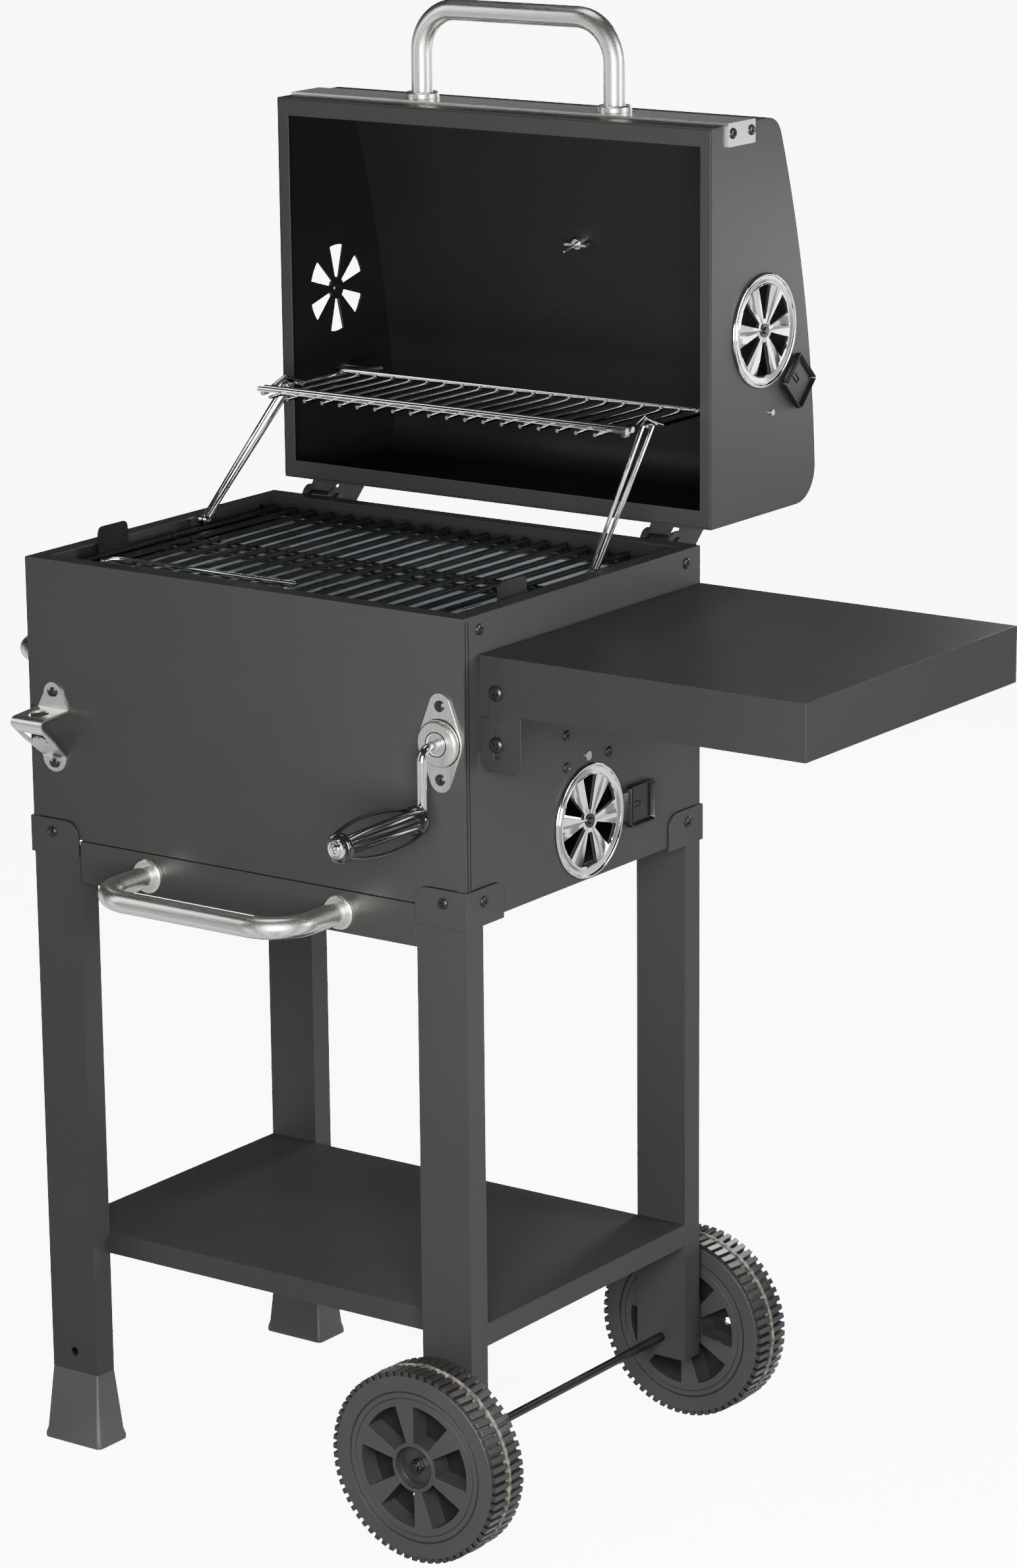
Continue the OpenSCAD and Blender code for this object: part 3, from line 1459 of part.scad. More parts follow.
// Open box grip on the disc's tab
module vent_grip() {
    x0 = vent_r + grip_in;
    difference() {
        translate([x0, -vent_grip_h / 2, gap + vent_t]) cube([vent_grip_w, vent_grip_h, grip_out]);
        translate([x0 + grip_wall, -vent_grip_h / 2 + grip_wall, gap + vent_t + grip_wall])
            cube([vent_grip_w - 2 * grip_wall, vent_grip_h - 2 * grip_wall, grip_out]);
    }
}

// Right side: local +X runs towards the back, turned about the vent's axis
module at_firebox_vent() {
    place() translate([box_w, vent_y, vent_z]) rotate([90, 0, 90]) children();
}

module at_lid_vent(s) {
    open_lid() translate([s > 0 ? box_w : 0, lid_vent_y, lid_vent_z])
        rotate([90, 0, 90]) mirror([0, 0, s > 0 ? 0 : 1]) rotate(lid_grip_angle[s > 0 ? 1 : 0])
        children();
}

module firebox_vent() {
    color(chrome) at_firebox_vent() vent_disc(firebox_window_turn);
}

module firebox_vent_grip() {
    color(black) at_firebox_vent() vent_grip();
}

module lid_vent_left() {
    color(chrome) at_lid_vent(-1) vent_disc(-lid_grip_angle[0]);
}

module lid_vent_left_grip() {
    color(black) at_lid_vent(-1) vent_grip();
}

module lid_vent_right() {
    color(chrome) at_lid_vent(1) vent_disc(-lid_grip_angle[1]);
}

module lid_vent_right_grip() {
    color(black) at_lid_vent(1) vent_grip();
}

// ---- Warming rack ----

module warming_rack() {
    step_y = pin_y - 40;
    back_y = rack_front_y + 116;
    color(chrome) place() {
        for (side = [0, 1]) translate([side * box_w, 0, 0]) mirror([side, 0, 0]) {
            along_x([-2, pin_y, rack_pin_z], rack_r, rack_side_x + 2);
            rod([[rack_side_x, pin_y + rack_r, rack_pin_z], [rack_side_x, step_y, rack_z],
                [rack_side_x, joint_y + bump_half, rack_z], [rack_side_x, joint_y, bump_z],
                [rack_side_x, joint_y - bump_half, rack_z],
                [rack_side_x, rack_front_y, rack_z]], rack_r);
        }
        for (y = [rack_front_y, rack_front_y + 9, back_y])
            rod([[rack_side_x - 4, y, rack_z + rack_r + 0.9],
                [rack_side_x + rack_w + 4, y, rack_z + rack_r + 0.9]], rack_r);
        for (i = [1 : rack_rods - 1]) {
            x = rack_side_x + i * rack_w / rack_rods;
            rod([[x, rack_front_y - 14, rack_z], [x, back_y, rack_z]], grid_rod_d / 2);
        }
    }
}

// Twin wire leg with a closed top under the rack's side rod and two eyes on its pin
module rack_leg() {
    reach = 1 + leg_over / norm([link_y, link_z]);
    top = [rack_side_x, joint_y, joint_z] + (reach - 1) * [0, link_y, link_z];
    eyes = [leg_foot_x, leg_foot_x + 5];
    tops = [rack_side_x - leg_half, rack_side_x + leg_half];
    eye_r = leg_pin_r + 2.25;
    wire([[eyes[0], rack_foot_y, rack_foot_z] + 3.2 * [0, 0.7, 0.72],
        [tops[0], top[1], top[2]], [tops[1], top[1], top[2]],
        [eyes[1], rack_foot_y, rack_foot_z] + 3.2 * [0, 0.7, 0.72]], leg_wire_r);
    for (x = eyes) difference() {
        along_x([x - 1.5, rack_foot_y, rack_foot_z], eye_r, 3);
        along_x([x - 2.5, rack_foot_y, rack_foot_z], leg_pin_r + run, 5);
    }
}

module rack_leg_left() {
    color(chrome) place() rack_leg();
}

module rack_leg_right() {
    color(chrome) place() translate([box_w, 0, 0]) mirror([1, 0, 0]) rack_leg();
}

// ---- Screws ----

module cart_screws() {
    t = sheet + bracket_t;
    color(black) place() {
        for (x = [bracket_screw, box_w - bracket_screw]) {
            translate([x, -bracket_t, bracket_screw_z]) rotate([90, 0, 0]) screw(t + 2);
            translate([x, box_d + bracket_t, bracket_screw_z]) rotate([-90, 0, 0]) screw(t + 2);
        }
        for (y = [bracket_screw, box_d - bracket_screw]) {
            translate([-bracket_t, y, bracket_screw_z]) rotate([0, -90, 0]) screw(t + 2);
            translate([box_w + bracket_t, y, bracket_screw_z]) rotate([0, 90, 0]) screw(t + 2);
            translate([0, y, rim_screw_z]) rotate([0, -90, 0]) screw(sheet + 2);
            translate([box_w, y, rim_screw_z]) rotate([0, 90, 0]) screw(sheet + 2);
        }
        for (z = opener_screws) translate([opener_x, -2, z]) rotate([90, 0, 0]) screw(6);
        for (z = [-1, 1]) translate([crank_x, -bracket_t, crank_z + z * plate_screw])
            rotate([90, 0, 0]) screw(t + 2);
        for (s = lift_screws) translate([box_w, s[0], s[1]]) rotate([0, 90, 0]) screw(t + 2);
        for (z = [-1, 1]) translate([0, lift_y, guide_mid + z * guide_screw])
            rotate([0, -90, 0]) screw(t + 0.5);
        for (y = [table_y + sheet + 18, 2 * table_mid - table_y - sheet - 18],
            z = table_bracket_screws)
            translate([box_w + bracket_t, y, z]) rotate([0, 90, 0]) screw(t + 2);
        at_hinges() for (z = ear_screws) translate([0, box_d + bracket_t, z])
            rotate([-90, 0, 0]) screw(t + 2);
        for (x = [leg_w / 2, box_w - leg_w / 2]) {
            translate([x, leg_d + sheet, shelf_screw_z]) rotate([-90, 0, 0]) screw(5);
            translate([x, box_d - leg_d - sheet, shelf_screw_z]) rotate([90, 0, 0]) screw(5);
        }
        translate([box_w, vent_y, vent_z]) rotate([0, 90, 0]) vent_screw();
    }
}

// Screw through the middle of a vent disc with a push-on nut inside
module vent_screw() {
    rotate_extrude() polygon([[0, -sheet - vent_nut_t], [5, -sheet - vent_nut_t],
        [5, -sheet], [screw_r, -sheet], [screw_r, 1.5], [5.2, 1.5], [5.2, 2.4], [3.8, 4.2],
        [0, 4.2]]);
}

module lid_screws() {
    color(black) open_lid() {
        for (z = [trim_z + trim_screw_inset, trim_z + trim_h - trim_screw_inset]) {
            translate([-trim_t, lid_front + 7, z]) rotate([0, -90, 0]) screw(trim_t + sheet + 2);
            translate([box_w + trim_t, lid_front + 7, z]) rotate([0, 90, 0])
                screw(trim_t + sheet + 2);
        }
        translate([box_w, lid_vent_y, lid_vent_z]) rotate([0, 90, 0]) vent_screw();
        translate([0, lid_vent_y, lid_vent_z]) rotate([0, -90, 0]) vent_screw();
    }
}

firebox_front();
firebox_back();
firebox_left();
firebox_right();
firebox_floor();
corner_brackets();
legs_left();
legs_right();
feet();
bottom_shelf();
wheel_axle();
axle_nuts();
side_table();
table_brackets();
table_bolts();
side_handle();
side_handle_collars();
bottle_opener();
crank_plate();
lift_bracket();
lift_guide();
grate_rests();
grate_front();
grate_rear();
hinge_ears();
hinge_barrels();
hinge_bolts();
cart_screws();
wheel_front();
wheel_rear();
crank_rod();
crank_pinion();
grip_core();
grip_cage();
lift_cradle();
charcoal_pan();
ash_tray();
drawer_front();
drawer_handle();
drawer_handle_collars();
grate_bail();
firebox_vent();
firebox_vent_grip();
lid_shell();
lid_sides();
lid_rim();
lid_trim();
lid_hinge_brackets();
lid_handle();
lid_handle_collars();
thermometer();
lid_screws();
lid_vent_left();
lid_vent_left_grip();
lid_vent_right();
lid_vent_right_grip();
warming_rack();
rack_leg_left();
rack_leg_right();
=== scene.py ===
import json
import math

import bmesh
import bpy
from mathutils import Matrix, Vector

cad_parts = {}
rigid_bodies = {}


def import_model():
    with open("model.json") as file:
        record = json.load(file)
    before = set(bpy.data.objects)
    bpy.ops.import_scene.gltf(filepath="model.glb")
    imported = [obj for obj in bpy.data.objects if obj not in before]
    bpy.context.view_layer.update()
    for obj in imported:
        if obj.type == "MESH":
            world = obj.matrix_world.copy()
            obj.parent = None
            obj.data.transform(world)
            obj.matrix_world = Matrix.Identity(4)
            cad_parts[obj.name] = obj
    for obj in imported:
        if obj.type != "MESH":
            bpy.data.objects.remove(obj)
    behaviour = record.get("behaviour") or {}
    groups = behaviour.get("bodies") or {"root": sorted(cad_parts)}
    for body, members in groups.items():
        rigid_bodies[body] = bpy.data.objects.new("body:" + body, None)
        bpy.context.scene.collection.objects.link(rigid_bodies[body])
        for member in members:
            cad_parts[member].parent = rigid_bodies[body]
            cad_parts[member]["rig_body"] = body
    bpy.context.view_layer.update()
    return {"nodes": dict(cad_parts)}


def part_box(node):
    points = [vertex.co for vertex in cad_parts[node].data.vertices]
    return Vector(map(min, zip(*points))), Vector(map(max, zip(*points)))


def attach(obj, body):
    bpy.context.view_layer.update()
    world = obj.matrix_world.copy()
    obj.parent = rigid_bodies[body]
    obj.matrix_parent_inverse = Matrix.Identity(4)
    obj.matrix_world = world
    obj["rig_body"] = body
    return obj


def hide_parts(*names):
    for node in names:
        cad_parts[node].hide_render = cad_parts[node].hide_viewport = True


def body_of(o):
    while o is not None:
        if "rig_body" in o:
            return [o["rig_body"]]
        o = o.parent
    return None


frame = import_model()

# ---- Camera ----
# A long lens stands about four metres off the grill's front right corner, a little above the lid.
# Places on the grill are given in millimetres from the firebox's front left corner on the ground.

corner = Vector((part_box("bottom_shelf")[0].x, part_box("firebox_front")[0].y, 0))


def at(x, y, z):
    return corner + Vector((x, y, z)) / 1000


def look_from(place, azimuth, elevation, roll):
    a, e, r = math.radians(azimuth), math.radians(elevation), math.radians(roll)
    back = Vector((math.sin(a) * math.cos(e), -math.cos(a) * math.cos(e), math.sin(e)))
    right = Vector((0, 0, 1)).cross(back).normalized()
    up = back.cross(right)
    side = math.cos(r) * right + math.sin(r) * up
    top = -math.sin(r) * right + math.cos(r) * up
    turn = Matrix((side, top, back)).transposed().to_4x4()
    return Matrix.Translation(place) @ turn


lens = bpy.data.cameras.new("camera")
lens.sensor_width = 36
lens.lens = 115.49
lens.shift_x = 0.0620
lens.shift_y = 0.0866
lens.clip_end = 60
camera = bpy.data.objects.new("camera", lens)
camera.matrix_world = look_from(at(2766.35, -3183.04, 1678.76), 36.58, 15.98, -0.86)
bpy.context.collection.objects.link(camera)
bpy.context.scene.camera = camera

# ---- Studio ----
# The grill stands on a pale paper sweep that runs from the floor up all round it in one curve.
# Six soft boxes light it, the strongest from the front right. The room is pale below and dim above, and dark
# panels stand round it, so that bright metal has something to mirror.


def material(name, metallic=0.0, specular=0.5, coat=0.0):
    made = bpy.data.materials.new(name)
    made.use_nodes = True
    shader = made.node_tree.nodes["Principled BSDF"]
    shader.inputs["Metallic"].default_value = metallic
    shader.inputs["Specular IOR Level"].default_value = specular
    shader.inputs["Coat Weight"].default_value = coat
    shader.inputs["Coat Roughness"].default_value = 0.1
    return made, made.node_tree.nodes, made.node_tree.links, shader


def mesh_object(name, bm):
    mesh = bpy.data.meshes.new(name)
    bm.to_mesh(mesh)
    bm.free()
    made = bpy.data.objects.new(name, mesh)
    bpy.context.collection.objects.link(made)
    return made


def lathe(bm, origin, axis, start, profile, steps):
    before = set(bm.verts)
    line = [bm.verts.new(origin + axis * h + start * r) for r, h in profile]
    edges = [bm.edges.new(pair) for pair in zip(line, line[1:])]
    bmesh.ops.spin(bm, geom=line + edges, cent=origin, axis=axis, angle=2 * math.pi, steps=steps,
                   use_merge=True)
    made = [v for v in bm.verts if v not in before]
    bmesh.ops.remove_doubles(bm, verts=made, dist=0.000001)
    return [v for v in made if v.is_valid]


paper, nodes, links, shader = material("pale_paper", specular=0.1)
fibre = nodes.new("ShaderNodeTexNoise")
fibre.inputs["Scale"].default_value = 3
tint = nodes.new("ShaderNodeMix")
tint.data_type = "RGBA"
tint.inputs["A"].default_value = (0.93, 0.93, 0.93, 1)
tint.inputs["B"].default_value = (0.96, 0.96, 0.96, 1)
links.new(nodes.new("ShaderNodeTexCoord").outputs["Object"], fibre.inputs["Vector"])
links.new(fibre.outputs["Fac"], tint.inputs["Factor"])
links.new(tint.outputs["Result"], shader.inputs["Base Color"])
shader.inputs["Roughness"].default_value = 0.9
shader.inputs["Emission Color"].default_value = (1, 1, 1, 1)
shader.inputs["Emission Strength"].default_value = 9.0

bm = bmesh.new()
flat_r, bend_r, top_z = 12, 1.6, 12
curve = [(flat_r + bend_r * math.sin(math.radians(a)), bend_r - bend_r * math.cos(math.radians(a)))
         for a in range(6, 91, 6)]
lathe(bm, Vector(), Vector((0, 0, 1)), Vector((1, 0, 0)),
      [(0, 0), (flat_r, 0), *curve, (flat_r + bend_r, top_z)], 72)
bmesh.ops.recalc_face_normals(bm, faces=bm.faces)
bmesh.ops.reverse_faces(bm, faces=bm.faces)
sweep = mesh_object("paper_sweep", bm)
sweep.data.materials.append(paper)
for face in sweep.data.polygons:
    face.use_smooth = True
sweep.visible_glossy = sweep.visible_diffuse = False


def soft_box(name, place, aim, width, height, power):
    lamp = bpy.data.lights.new(name, "AREA")
    lamp.shape = "RECTANGLE"
    lamp.size, lamp.size_y, lamp.energy = width, height, power
    made = bpy.data.objects.new(name, lamp)
    made.location = place
    made.rotation_euler = (Vector(aim) - Vector(place)).to_track_quat("-Z", "Y").to_euler()
    made.visible_camera = False
    bpy.context.collection.objects.link(made)


soft_box("left_box", (-2.6, -2.2, 2.0), (0, 0, 0.7), 0.7, 2.4, 26)
soft_box("right_box", (2.3, 0.85, 1.5), (0.1, 0.05, 0.95), 0.8, 1.4, 90)
soft_box("table_box", (0.35, 0.95, 0.9), (0.4, 0.15, 0.72), 0.5, 0.2, 1.5)
soft_box("key_box", (0.95, -1.4, 0.95), (0.15, 0, 0.7), 0.8, 0.8, 115)
soft_box("top_box", (-0.4, 0.2, 3.4), (0, 0, 0.8), 1.6, 0.8, 13)
soft_box("back_box", (-0.25, 2.7, 1.35), (0.3, 0, 0.8), 0.6, 0.8, 60)


def joined(nodes, links, operation, a, b=0):
    made = nodes.new("ShaderNodeMath")
    made.operation = operation
    for socket, value in zip(made.inputs, (a, b)):
        if isinstance(value, (int, float)):
            socket.default_value = value
        else:
            links.new(value, socket)
    return made.outputs[0]


def mapped(nodes, links, value, start, end, low, high, kind="LINEAR"):
    made = nodes.new("ShaderNodeMapRange")
    made.interpolation_type = kind
    for label, number in (("From Min", start), ("From Max", end), ("To Min", low), ("To Max", high)):
        made.inputs[label].default_value = number
    links.new(value, made.inputs["Value"])
    return made.outputs["Result"]


room = bpy.data.worlds.new("studio_air")
bpy.context.scene.world = room
room.use_nodes = True
nodes, links = room.node_tree.nodes, room.node_tree.links
nodes["Background"].inputs["Color"].default_value = (0.97, 0.98, 1.0, 1)
heading = nodes.new("ShaderNodeSeparateXYZ")
links.new(nodes.new("ShaderNodeTexCoord").outputs["Generated"], heading.inputs["Vector"])
dusk = mapped(nodes, links, heading.outputs["Z"], -0.25, 0.2, 1.3, 0.06, "SMOOTHSTEP")
round_angle = joined(nodes, links, "ARCTAN2", heading.outputs["Y"], heading.outputs["X"])
dark_panels = 9
wave = joined(nodes, links, "SINE", joined(nodes, links, "MULTIPLY", round_angle, dark_panels))
panels = mapped(nodes, links, wave, -0.3, 0.3, 0.25, 1.2)
links.new(joined(nodes, links, "MULTIPLY", dusk, panels), nodes["Background"].inputs["Strength"])

# ---- Firebox ----
# Four walls and a floor of 1.5 mm sheet steel, each bent on a press and screwed at the corners.
# The outside is baked charcoal powder coat with a fine pebbled skin, its edges slightly rounded.


def value_group(name, build):
    tree = bpy.data.node_groups.new(name, "ShaderNodeTree")
    for label, kind in (("Shade", "Float"), ("Grip", "Float"), ("Normal", "Vector")):
        tree.interface.new_socket(label, in_out="OUTPUT", socket_type="NodeSocket" + kind)
    out = tree.nodes.new("NodeGroupOutput")
    where = tree.nodes.new("ShaderNodeTexCoord").outputs["Object"]
    build(tree.nodes, tree.links, where, out)
    return tree


def noise(nodes, links, where, scale, detail=2.0, stretch=None):
    made = nodes.new("ShaderNodeTexNoise")
    made.inputs["Scale"].default_value = scale
    made.inputs["Detail"].default_value = detail
    if stretch:
        mapping = nodes.new("ShaderNodeMapping")
        mapping.inputs["Scale"].default_value = stretch
        links.new(where, mapping.inputs["Vector"])
        where = mapping.outputs["Vector"]
    links.new(where, made.inputs["Vector"])
    return made.outputs["Fac"]


def mixed(nodes, links, a, share, b):
    return joined(nodes, links, "ADD", joined(nodes, links, "MULTIPLY", a, share),
                  joined(nodes, links, "MULTIPLY", b, 1 - share))


def bumped(nodes, links, height, strength, depth):
    made = nodes.new("ShaderNodeBump")
    made.inputs["Strength"].default_value = strength
    made.inputs["Distance"].default_value = depth
    links.new(height, made.inputs["Height"])
    return made.outputs["Normal"]


def pebbled(nodes, links, where, out):
    cells = nodes.new("ShaderNodeTexVoronoi")
    cells.feature = "SMOOTH_F1"
    cells.inputs["Scale"].default_value = 900
    links.new(where, cells.inputs["Vector"])
    grain = noise(nodes, links, where, 1500)
    skin = joined(nodes, links, "ADD", cells.outputs["Distance"], grain)
    cloud = noise(nodes, links, where, 5, 4)
    dust = noise(nodes, links, where, 420, 3)
    links.new(mixed(nodes, links, cloud, 0.7, dust), out.inputs["Shade"])
    links.new(mixed(nodes, links, grain, 0.5, cloud), out.inputs["Grip"])
    links.new(bumped(nodes, links, skin, 0.35, 0.00012), out.inputs["Normal"])


coat_skin = value_group("pebbled_coat", pebbled)


def coloured(name, skin, dark, light, smooth, rough, **shader_values):
    made, nodes, links, shader = material(name, **shader_values)
    group = nodes.new("ShaderNodeGroup")
    group.node_tree = skin
    tint = nodes.new("ShaderNodeMix")
    tint.data_type = "RGBA"
    tint.inputs["A"].default_value = (*dark, 1)
    tint.inputs["B"].default_value = (*light, 1)
    links.new(group.outputs["Shade"], tint.inputs["Factor"])
    links.new(tint.outputs["Result"], shader.inputs["Base Color"])
    gloss = mapped(nodes, links, group.outputs["Grip"], 0.25, 0.75, smooth, rough)
    links.new(gloss, shader.inputs["Roughness"])
    links.new(group.outputs["Normal"], shader.inputs["Normal"])
    return made


charcoal_coat = coloured("charcoal_coat", coat_skin, (0.014, 0.0144, 0.0135), (0.021, 0.0214, 0.0201),
                         0.38, 0.48, specular=0.22)


def copy_of(node):
    bm = bmesh.new()
    bm.from_mesh(frame["nodes"][node].data)
    bmesh.ops.remove_doubles(bm, verts=bm.verts, dist=0.000005)
    bmesh.ops.dissolve_limit(bm, angle_limit=math.radians(0.4), verts=bm.verts, edges=bm.edges)
    return bm


def dressed(piece, skins, crease=35):
    for skin in skins:
        piece.data.materials.append(skin)
    for face in piece.data.polygons:
        face.use_smooth = True
    piece.data.set_sharp_from_angle(angle=math.radians(crease))


def finished(piece, node, skins, soften=0.0, crease=35, segments=2):
    dressed(piece, skins, crease)
    if soften:
        rounding = piece.modifiers.new("rounded_edges", "BEVEL")
        rounding.width = soften
        rounding.segments = segments
        rounding.limit_method = "ANGLE"
        rounding.angle_limit = math.radians(crease)
        rounding.harden_normals = True
    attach(piece, body_of(frame["nodes"][node])[0])
    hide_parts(node)


for node in ("firebox_front", "firebox_back", "firebox_left", "firebox_right", "firebox_floor"):
    finished(mesh_object(node + "_sheet", copy_of(node)), node, [charcoal_coat], 0.0006)

# ---- Folded corner seams ----
# The front wall's edges fold round the side walls, which leaves two fine dark lines up each front corner.
# They're open joints in the coat, as deep as the paint.

# Near black: the dark open joints of the corner seams. It is also used for the painted shadow lines round the
# brackets and the crank boss.
seam_and_painted_shadow = coloured("seam_and_painted_shadow", coat_skin, (0.0008, 0.0008, 0.0008), (0.0015, 0.0015, 0.0015), 0.7, 0.8,
                      specular=0.1)


def plate(bm, low, high):
    bmesh.ops.create_cube(bm, size=1, matrix=Matrix.Translation((low + high) / 2)
                          @ Matrix.Diagonal((*(high - low), 1)))


def added(name, bm, skin, body):
    bmesh.ops.recalc_face_normals(bm, faces=bm.faces)
    piece = mesh_object(name, bm)
    dressed(piece, [skin])
    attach(piece, body)


front_low, front_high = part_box("firebox_front")
left_low, right_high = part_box("firebox_left")[0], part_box("firebox_right")[1]
seam_wide, seam_proud, seam_deep = 0.0009, 0.00006, 0.0004
bm = bmesh.new()
for wall, sign in ((left_low.x, -1), (right_high.x, 1)):
    x = sorted((wall + sign * seam_proud, wall - sign * seam_deep))
    for y in (front_low.y + 0.0024, front_low.y + 0.0062):
        plate(bm, Vector((x[0], y, front_low.z + 0.018)), Vector((x[1], y + seam_wide, front_high.z - 0.003)))
added("corner_seams", bm, seam_and_painted_shadow, "cart")

# ---- Legs, corner brackets, shelf ----
# Angle legs bent from sheet, held to the firebox by wrap round brackets with two screws each.
# The shelf is a folded tray between the legs. All of it has the firebox's charcoal coat.

for node in ("legs_left", "legs_right", "corner_brackets", "bottom_shelf"):
    finished(mesh_object(node + "_sheet", copy_of(node)), node, [charcoal_coat], 0.0007)

# ---- Side table ----
# One tray shaped pressing with deep flanges that hooks and bolts on two angle brackets.
# It has the same coat, laid a little flatter on the top.

table_coat = coloured("table_coat", coat_skin, (0.009, 0.0092, 0.0088), (0.013, 0.0132, 0.0127), 0.34, 0.44,
                      specular=0.22)
for node in ("side_table", "table_brackets"):
    finished(mesh_object(node + "_sheet", copy_of(node)), node, [table_coat], 0.0007)

# ---- Lid ----
# A curved sheet shell welded between two flat sides, with a flanged rim round its mouth.
# Charcoal coat outside; the inside faces are painted near black as painted shade inside the shell.

lid_inside_painted_shade = coloured("lid_inside_painted_shade", coat_skin, (0.0035, 0.0035, 0.0035), (0.006, 0.006, 0.006),
                       0.42, 0.58, specular=0.2)
lid_low, lid_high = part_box("lid_shell")
lid_middle = (lid_low + lid_high) / 2
for node in ("lid_shell", "lid_sides"):
    bm = copy_of(node)
    for face in bm.faces:
        # Faces that point into the lid get the near black coat: painted shade.
        if face.normal.dot(face.calc_center_median() - lid_middle) < 0:
            face.material_index = 1
    finished(mesh_object(node + "_sheet", bm), node, [charcoal_coat, lid_inside_painted_shade], 0.0005)
finished(mesh_object("lid_rim_sheet", copy_of("lid_rim")), "lid_rim", [charcoal_coat], 0.0005)

# ---- Hinges ----
# Two pressed brackets on the lid turn on bolts in ears screwed to the firebox's back wall.
# Bolts and barrels are black oxide steel, with a thin film of oil.


def oiled(nodes, links, where, out):
    film = noise(nodes, links, where, 60, 4)
    grain = noise(nodes, links, where, 900)
    links.new(film, out.inputs["Shade"])
    links.new(mixed(nodes, links, film, 0.6, grain), out.inputs["Grip"])
    links.new(bumped(nodes, links, grain, 0.2, 0.0001), out.inputs["Normal"])


black_oxide = coloured("black_oxide", value_group("oiled_steel", oiled), (0.004, 0.004, 0.004),
                       (0.009, 0.009, 0.009), 0.2, 0.32, specular=0.3)
for node in ("hinge_ears", "lid_hinge_brackets"):
    finished(mesh_object(node + "_sheet", copy_of(node)), node, [charcoal_coat], 0.0004)
for node in ("hinge_barrels", "hinge_bolts"):
    finished(mesh_object(node + "_steel", copy_of(node)), node, [black_oxide], 0.0004)

# ---- Screws ----
# Pan head screws of black oxide steel with a cross recess hold every sheet and fitting.
# Each one is turned to its own angle, as they come off the driver.


def loose_parts(node):
    bm = copy_of(node)
    seen = set()
    for first in bm.verts:
        if first in seen:
            continue
        seen.add(first)
        part, edge = [], [first]
        while edge:
            v = edge.pop()
            part.append(v.co.copy())
            for e in v.link_edges:
                other = e.other_vert(v)
                if other not in seen:
                    seen.add(other)
                    edge.append(other)
        yield part
    bm.free()


def box_of(points):
    return (Vector(min(p[i] for p in points) for i in range(3)),
            Vector(max(p[i] for p in points) for i in range(3)))


def screw_place(points):
    low, high = box_of(points)
    size = high - low
    odd = max(range(3), key=lambda i: sum(abs(size[i] - size[j]) for j in range(3) if j != i))
    along = Vector([1 if i == odd else 0 for i in range(3)])
    middle = (low + high) / 2
    off = [p - middle for p in points]
    spread = [(o - along * o[odd]).length for o in off]
    radius = max(spread)
    rim = [o[odd] for o, r in zip(off, spread) if r > 0.9 * radius]
    side = 1 if sum(rim) > 0 else -1
    seat = min(r * side for r in rim)
    return middle + along * side * seat, along * side, radius, size[odd] / 2 - seat


def cross_head(bm, seat, axis, radius, height, turn, shank):
    before = set(bm.verts)
    steps = 20
    shank_r, arm, slot = radius * 0.5, radius * 0.56, radius * 0.15
    crown = radius * 0.68
    head = lathe(bm, Vector(), Vector((0, 0, 1)), Vector((1, 0, 0)), [
        (0, -shank), (shank_r, -shank), (shank_r, 0), (radius, 0), (radius, height * 0.4),
        (radius * 0.9, height * 0.72), (crown, height)], steps)
    ends = [v for v in head if v.co.z > height * 0.99]
    top = dict.fromkeys(e for v in ends for e in v.link_edges if e.other_vert(v) in ends)
    outline = []
    for i in range(4):
        quarter = Matrix.Rotation(math.pi / 2 * i, 2)
        outline += [quarter @ Vector(point) for point in ((arm, -slot), (arm, slot), (slot, slot))]
    cross = [bm.verts.new((x, y, height)) for x, y in outline]
    floor = [bm.verts.new((x * 0.75, y * 0.75, height * 0.25)) for x, y in outline]
    edges = [bm.edges.new((cross[i], cross[i - 1])) for i in range(12)]
    bmesh.ops.triangle_fill(bm, edges=edges + list(top), use_beauty=True)
    for i in range(12):
        bm.faces.new((cross[i], cross[i - 1], floor[i - 1], floor[i]))
    bm.faces.new(floor)
    upright = axis.to_track_quat("Z", "Y").to_matrix().to_4x4()
    place = Matrix.Translation(seat) @ upright @ Matrix.Rotation(turn, 4, "Z")
    bmesh.ops.transform(bm, matrix=place, verts=[v for v in bm.verts if v not in before])


def screw_set(node):
    head_scale, turn_step = 1.2, 1.9
    bm = bmesh.new()
    for number, points in enumerate(loose_parts(node)):
        seat, axis, radius, height = screw_place(points)
        shank = max((seat - p).dot(axis) for p in points)
        cross_head(bm, seat, axis, radius * head_scale, height, number * turn_step, shank)
    bmesh.ops.recalc_face_normals(bm, faces=bm.faces)
    finished(mesh_object(node + "_heads", bm), node, [black_oxide], 0.0002, 30)


for node in ("cart_screws", "lid_screws", "table_bolts"):
    screw_set(node)

# ---- Brushed stainless fittings ----
# Three bent tube handles, the lid's front strip and the crank's plate are satin brushed stainless steel.
# The grain runs along each tube; the cups at the tube ends are turned from the same steel.


def brushed(stretch):
    def build(nodes, links, where, out):
        lines = noise(nodes, links, where, 1, 3, stretch)
        fine = noise(nodes, links, where, 1, 2, tuple(v * 2.7 for v in stretch))
        marks = mixed(nodes, links, lines, 0.6, fine)
        cloud = noise(nodes, links, where, 9, 3)
        links.new(mixed(nodes, links, marks, 0.7, cloud), out.inputs["Shade"])
        links.new(marks, out.inputs["Grip"])
        links.new(bumped(nodes, links, marks, 0.25, 0.00008), out.inputs["Normal"])
    return build


def steel(name, stretch):
    return coloured(name, value_group(name + "_grain", brushed(stretch)), (0.7, 0.68, 0.64),
                    (0.9, 0.88, 0.84), 0.2, 0.36, metallic=1.0)


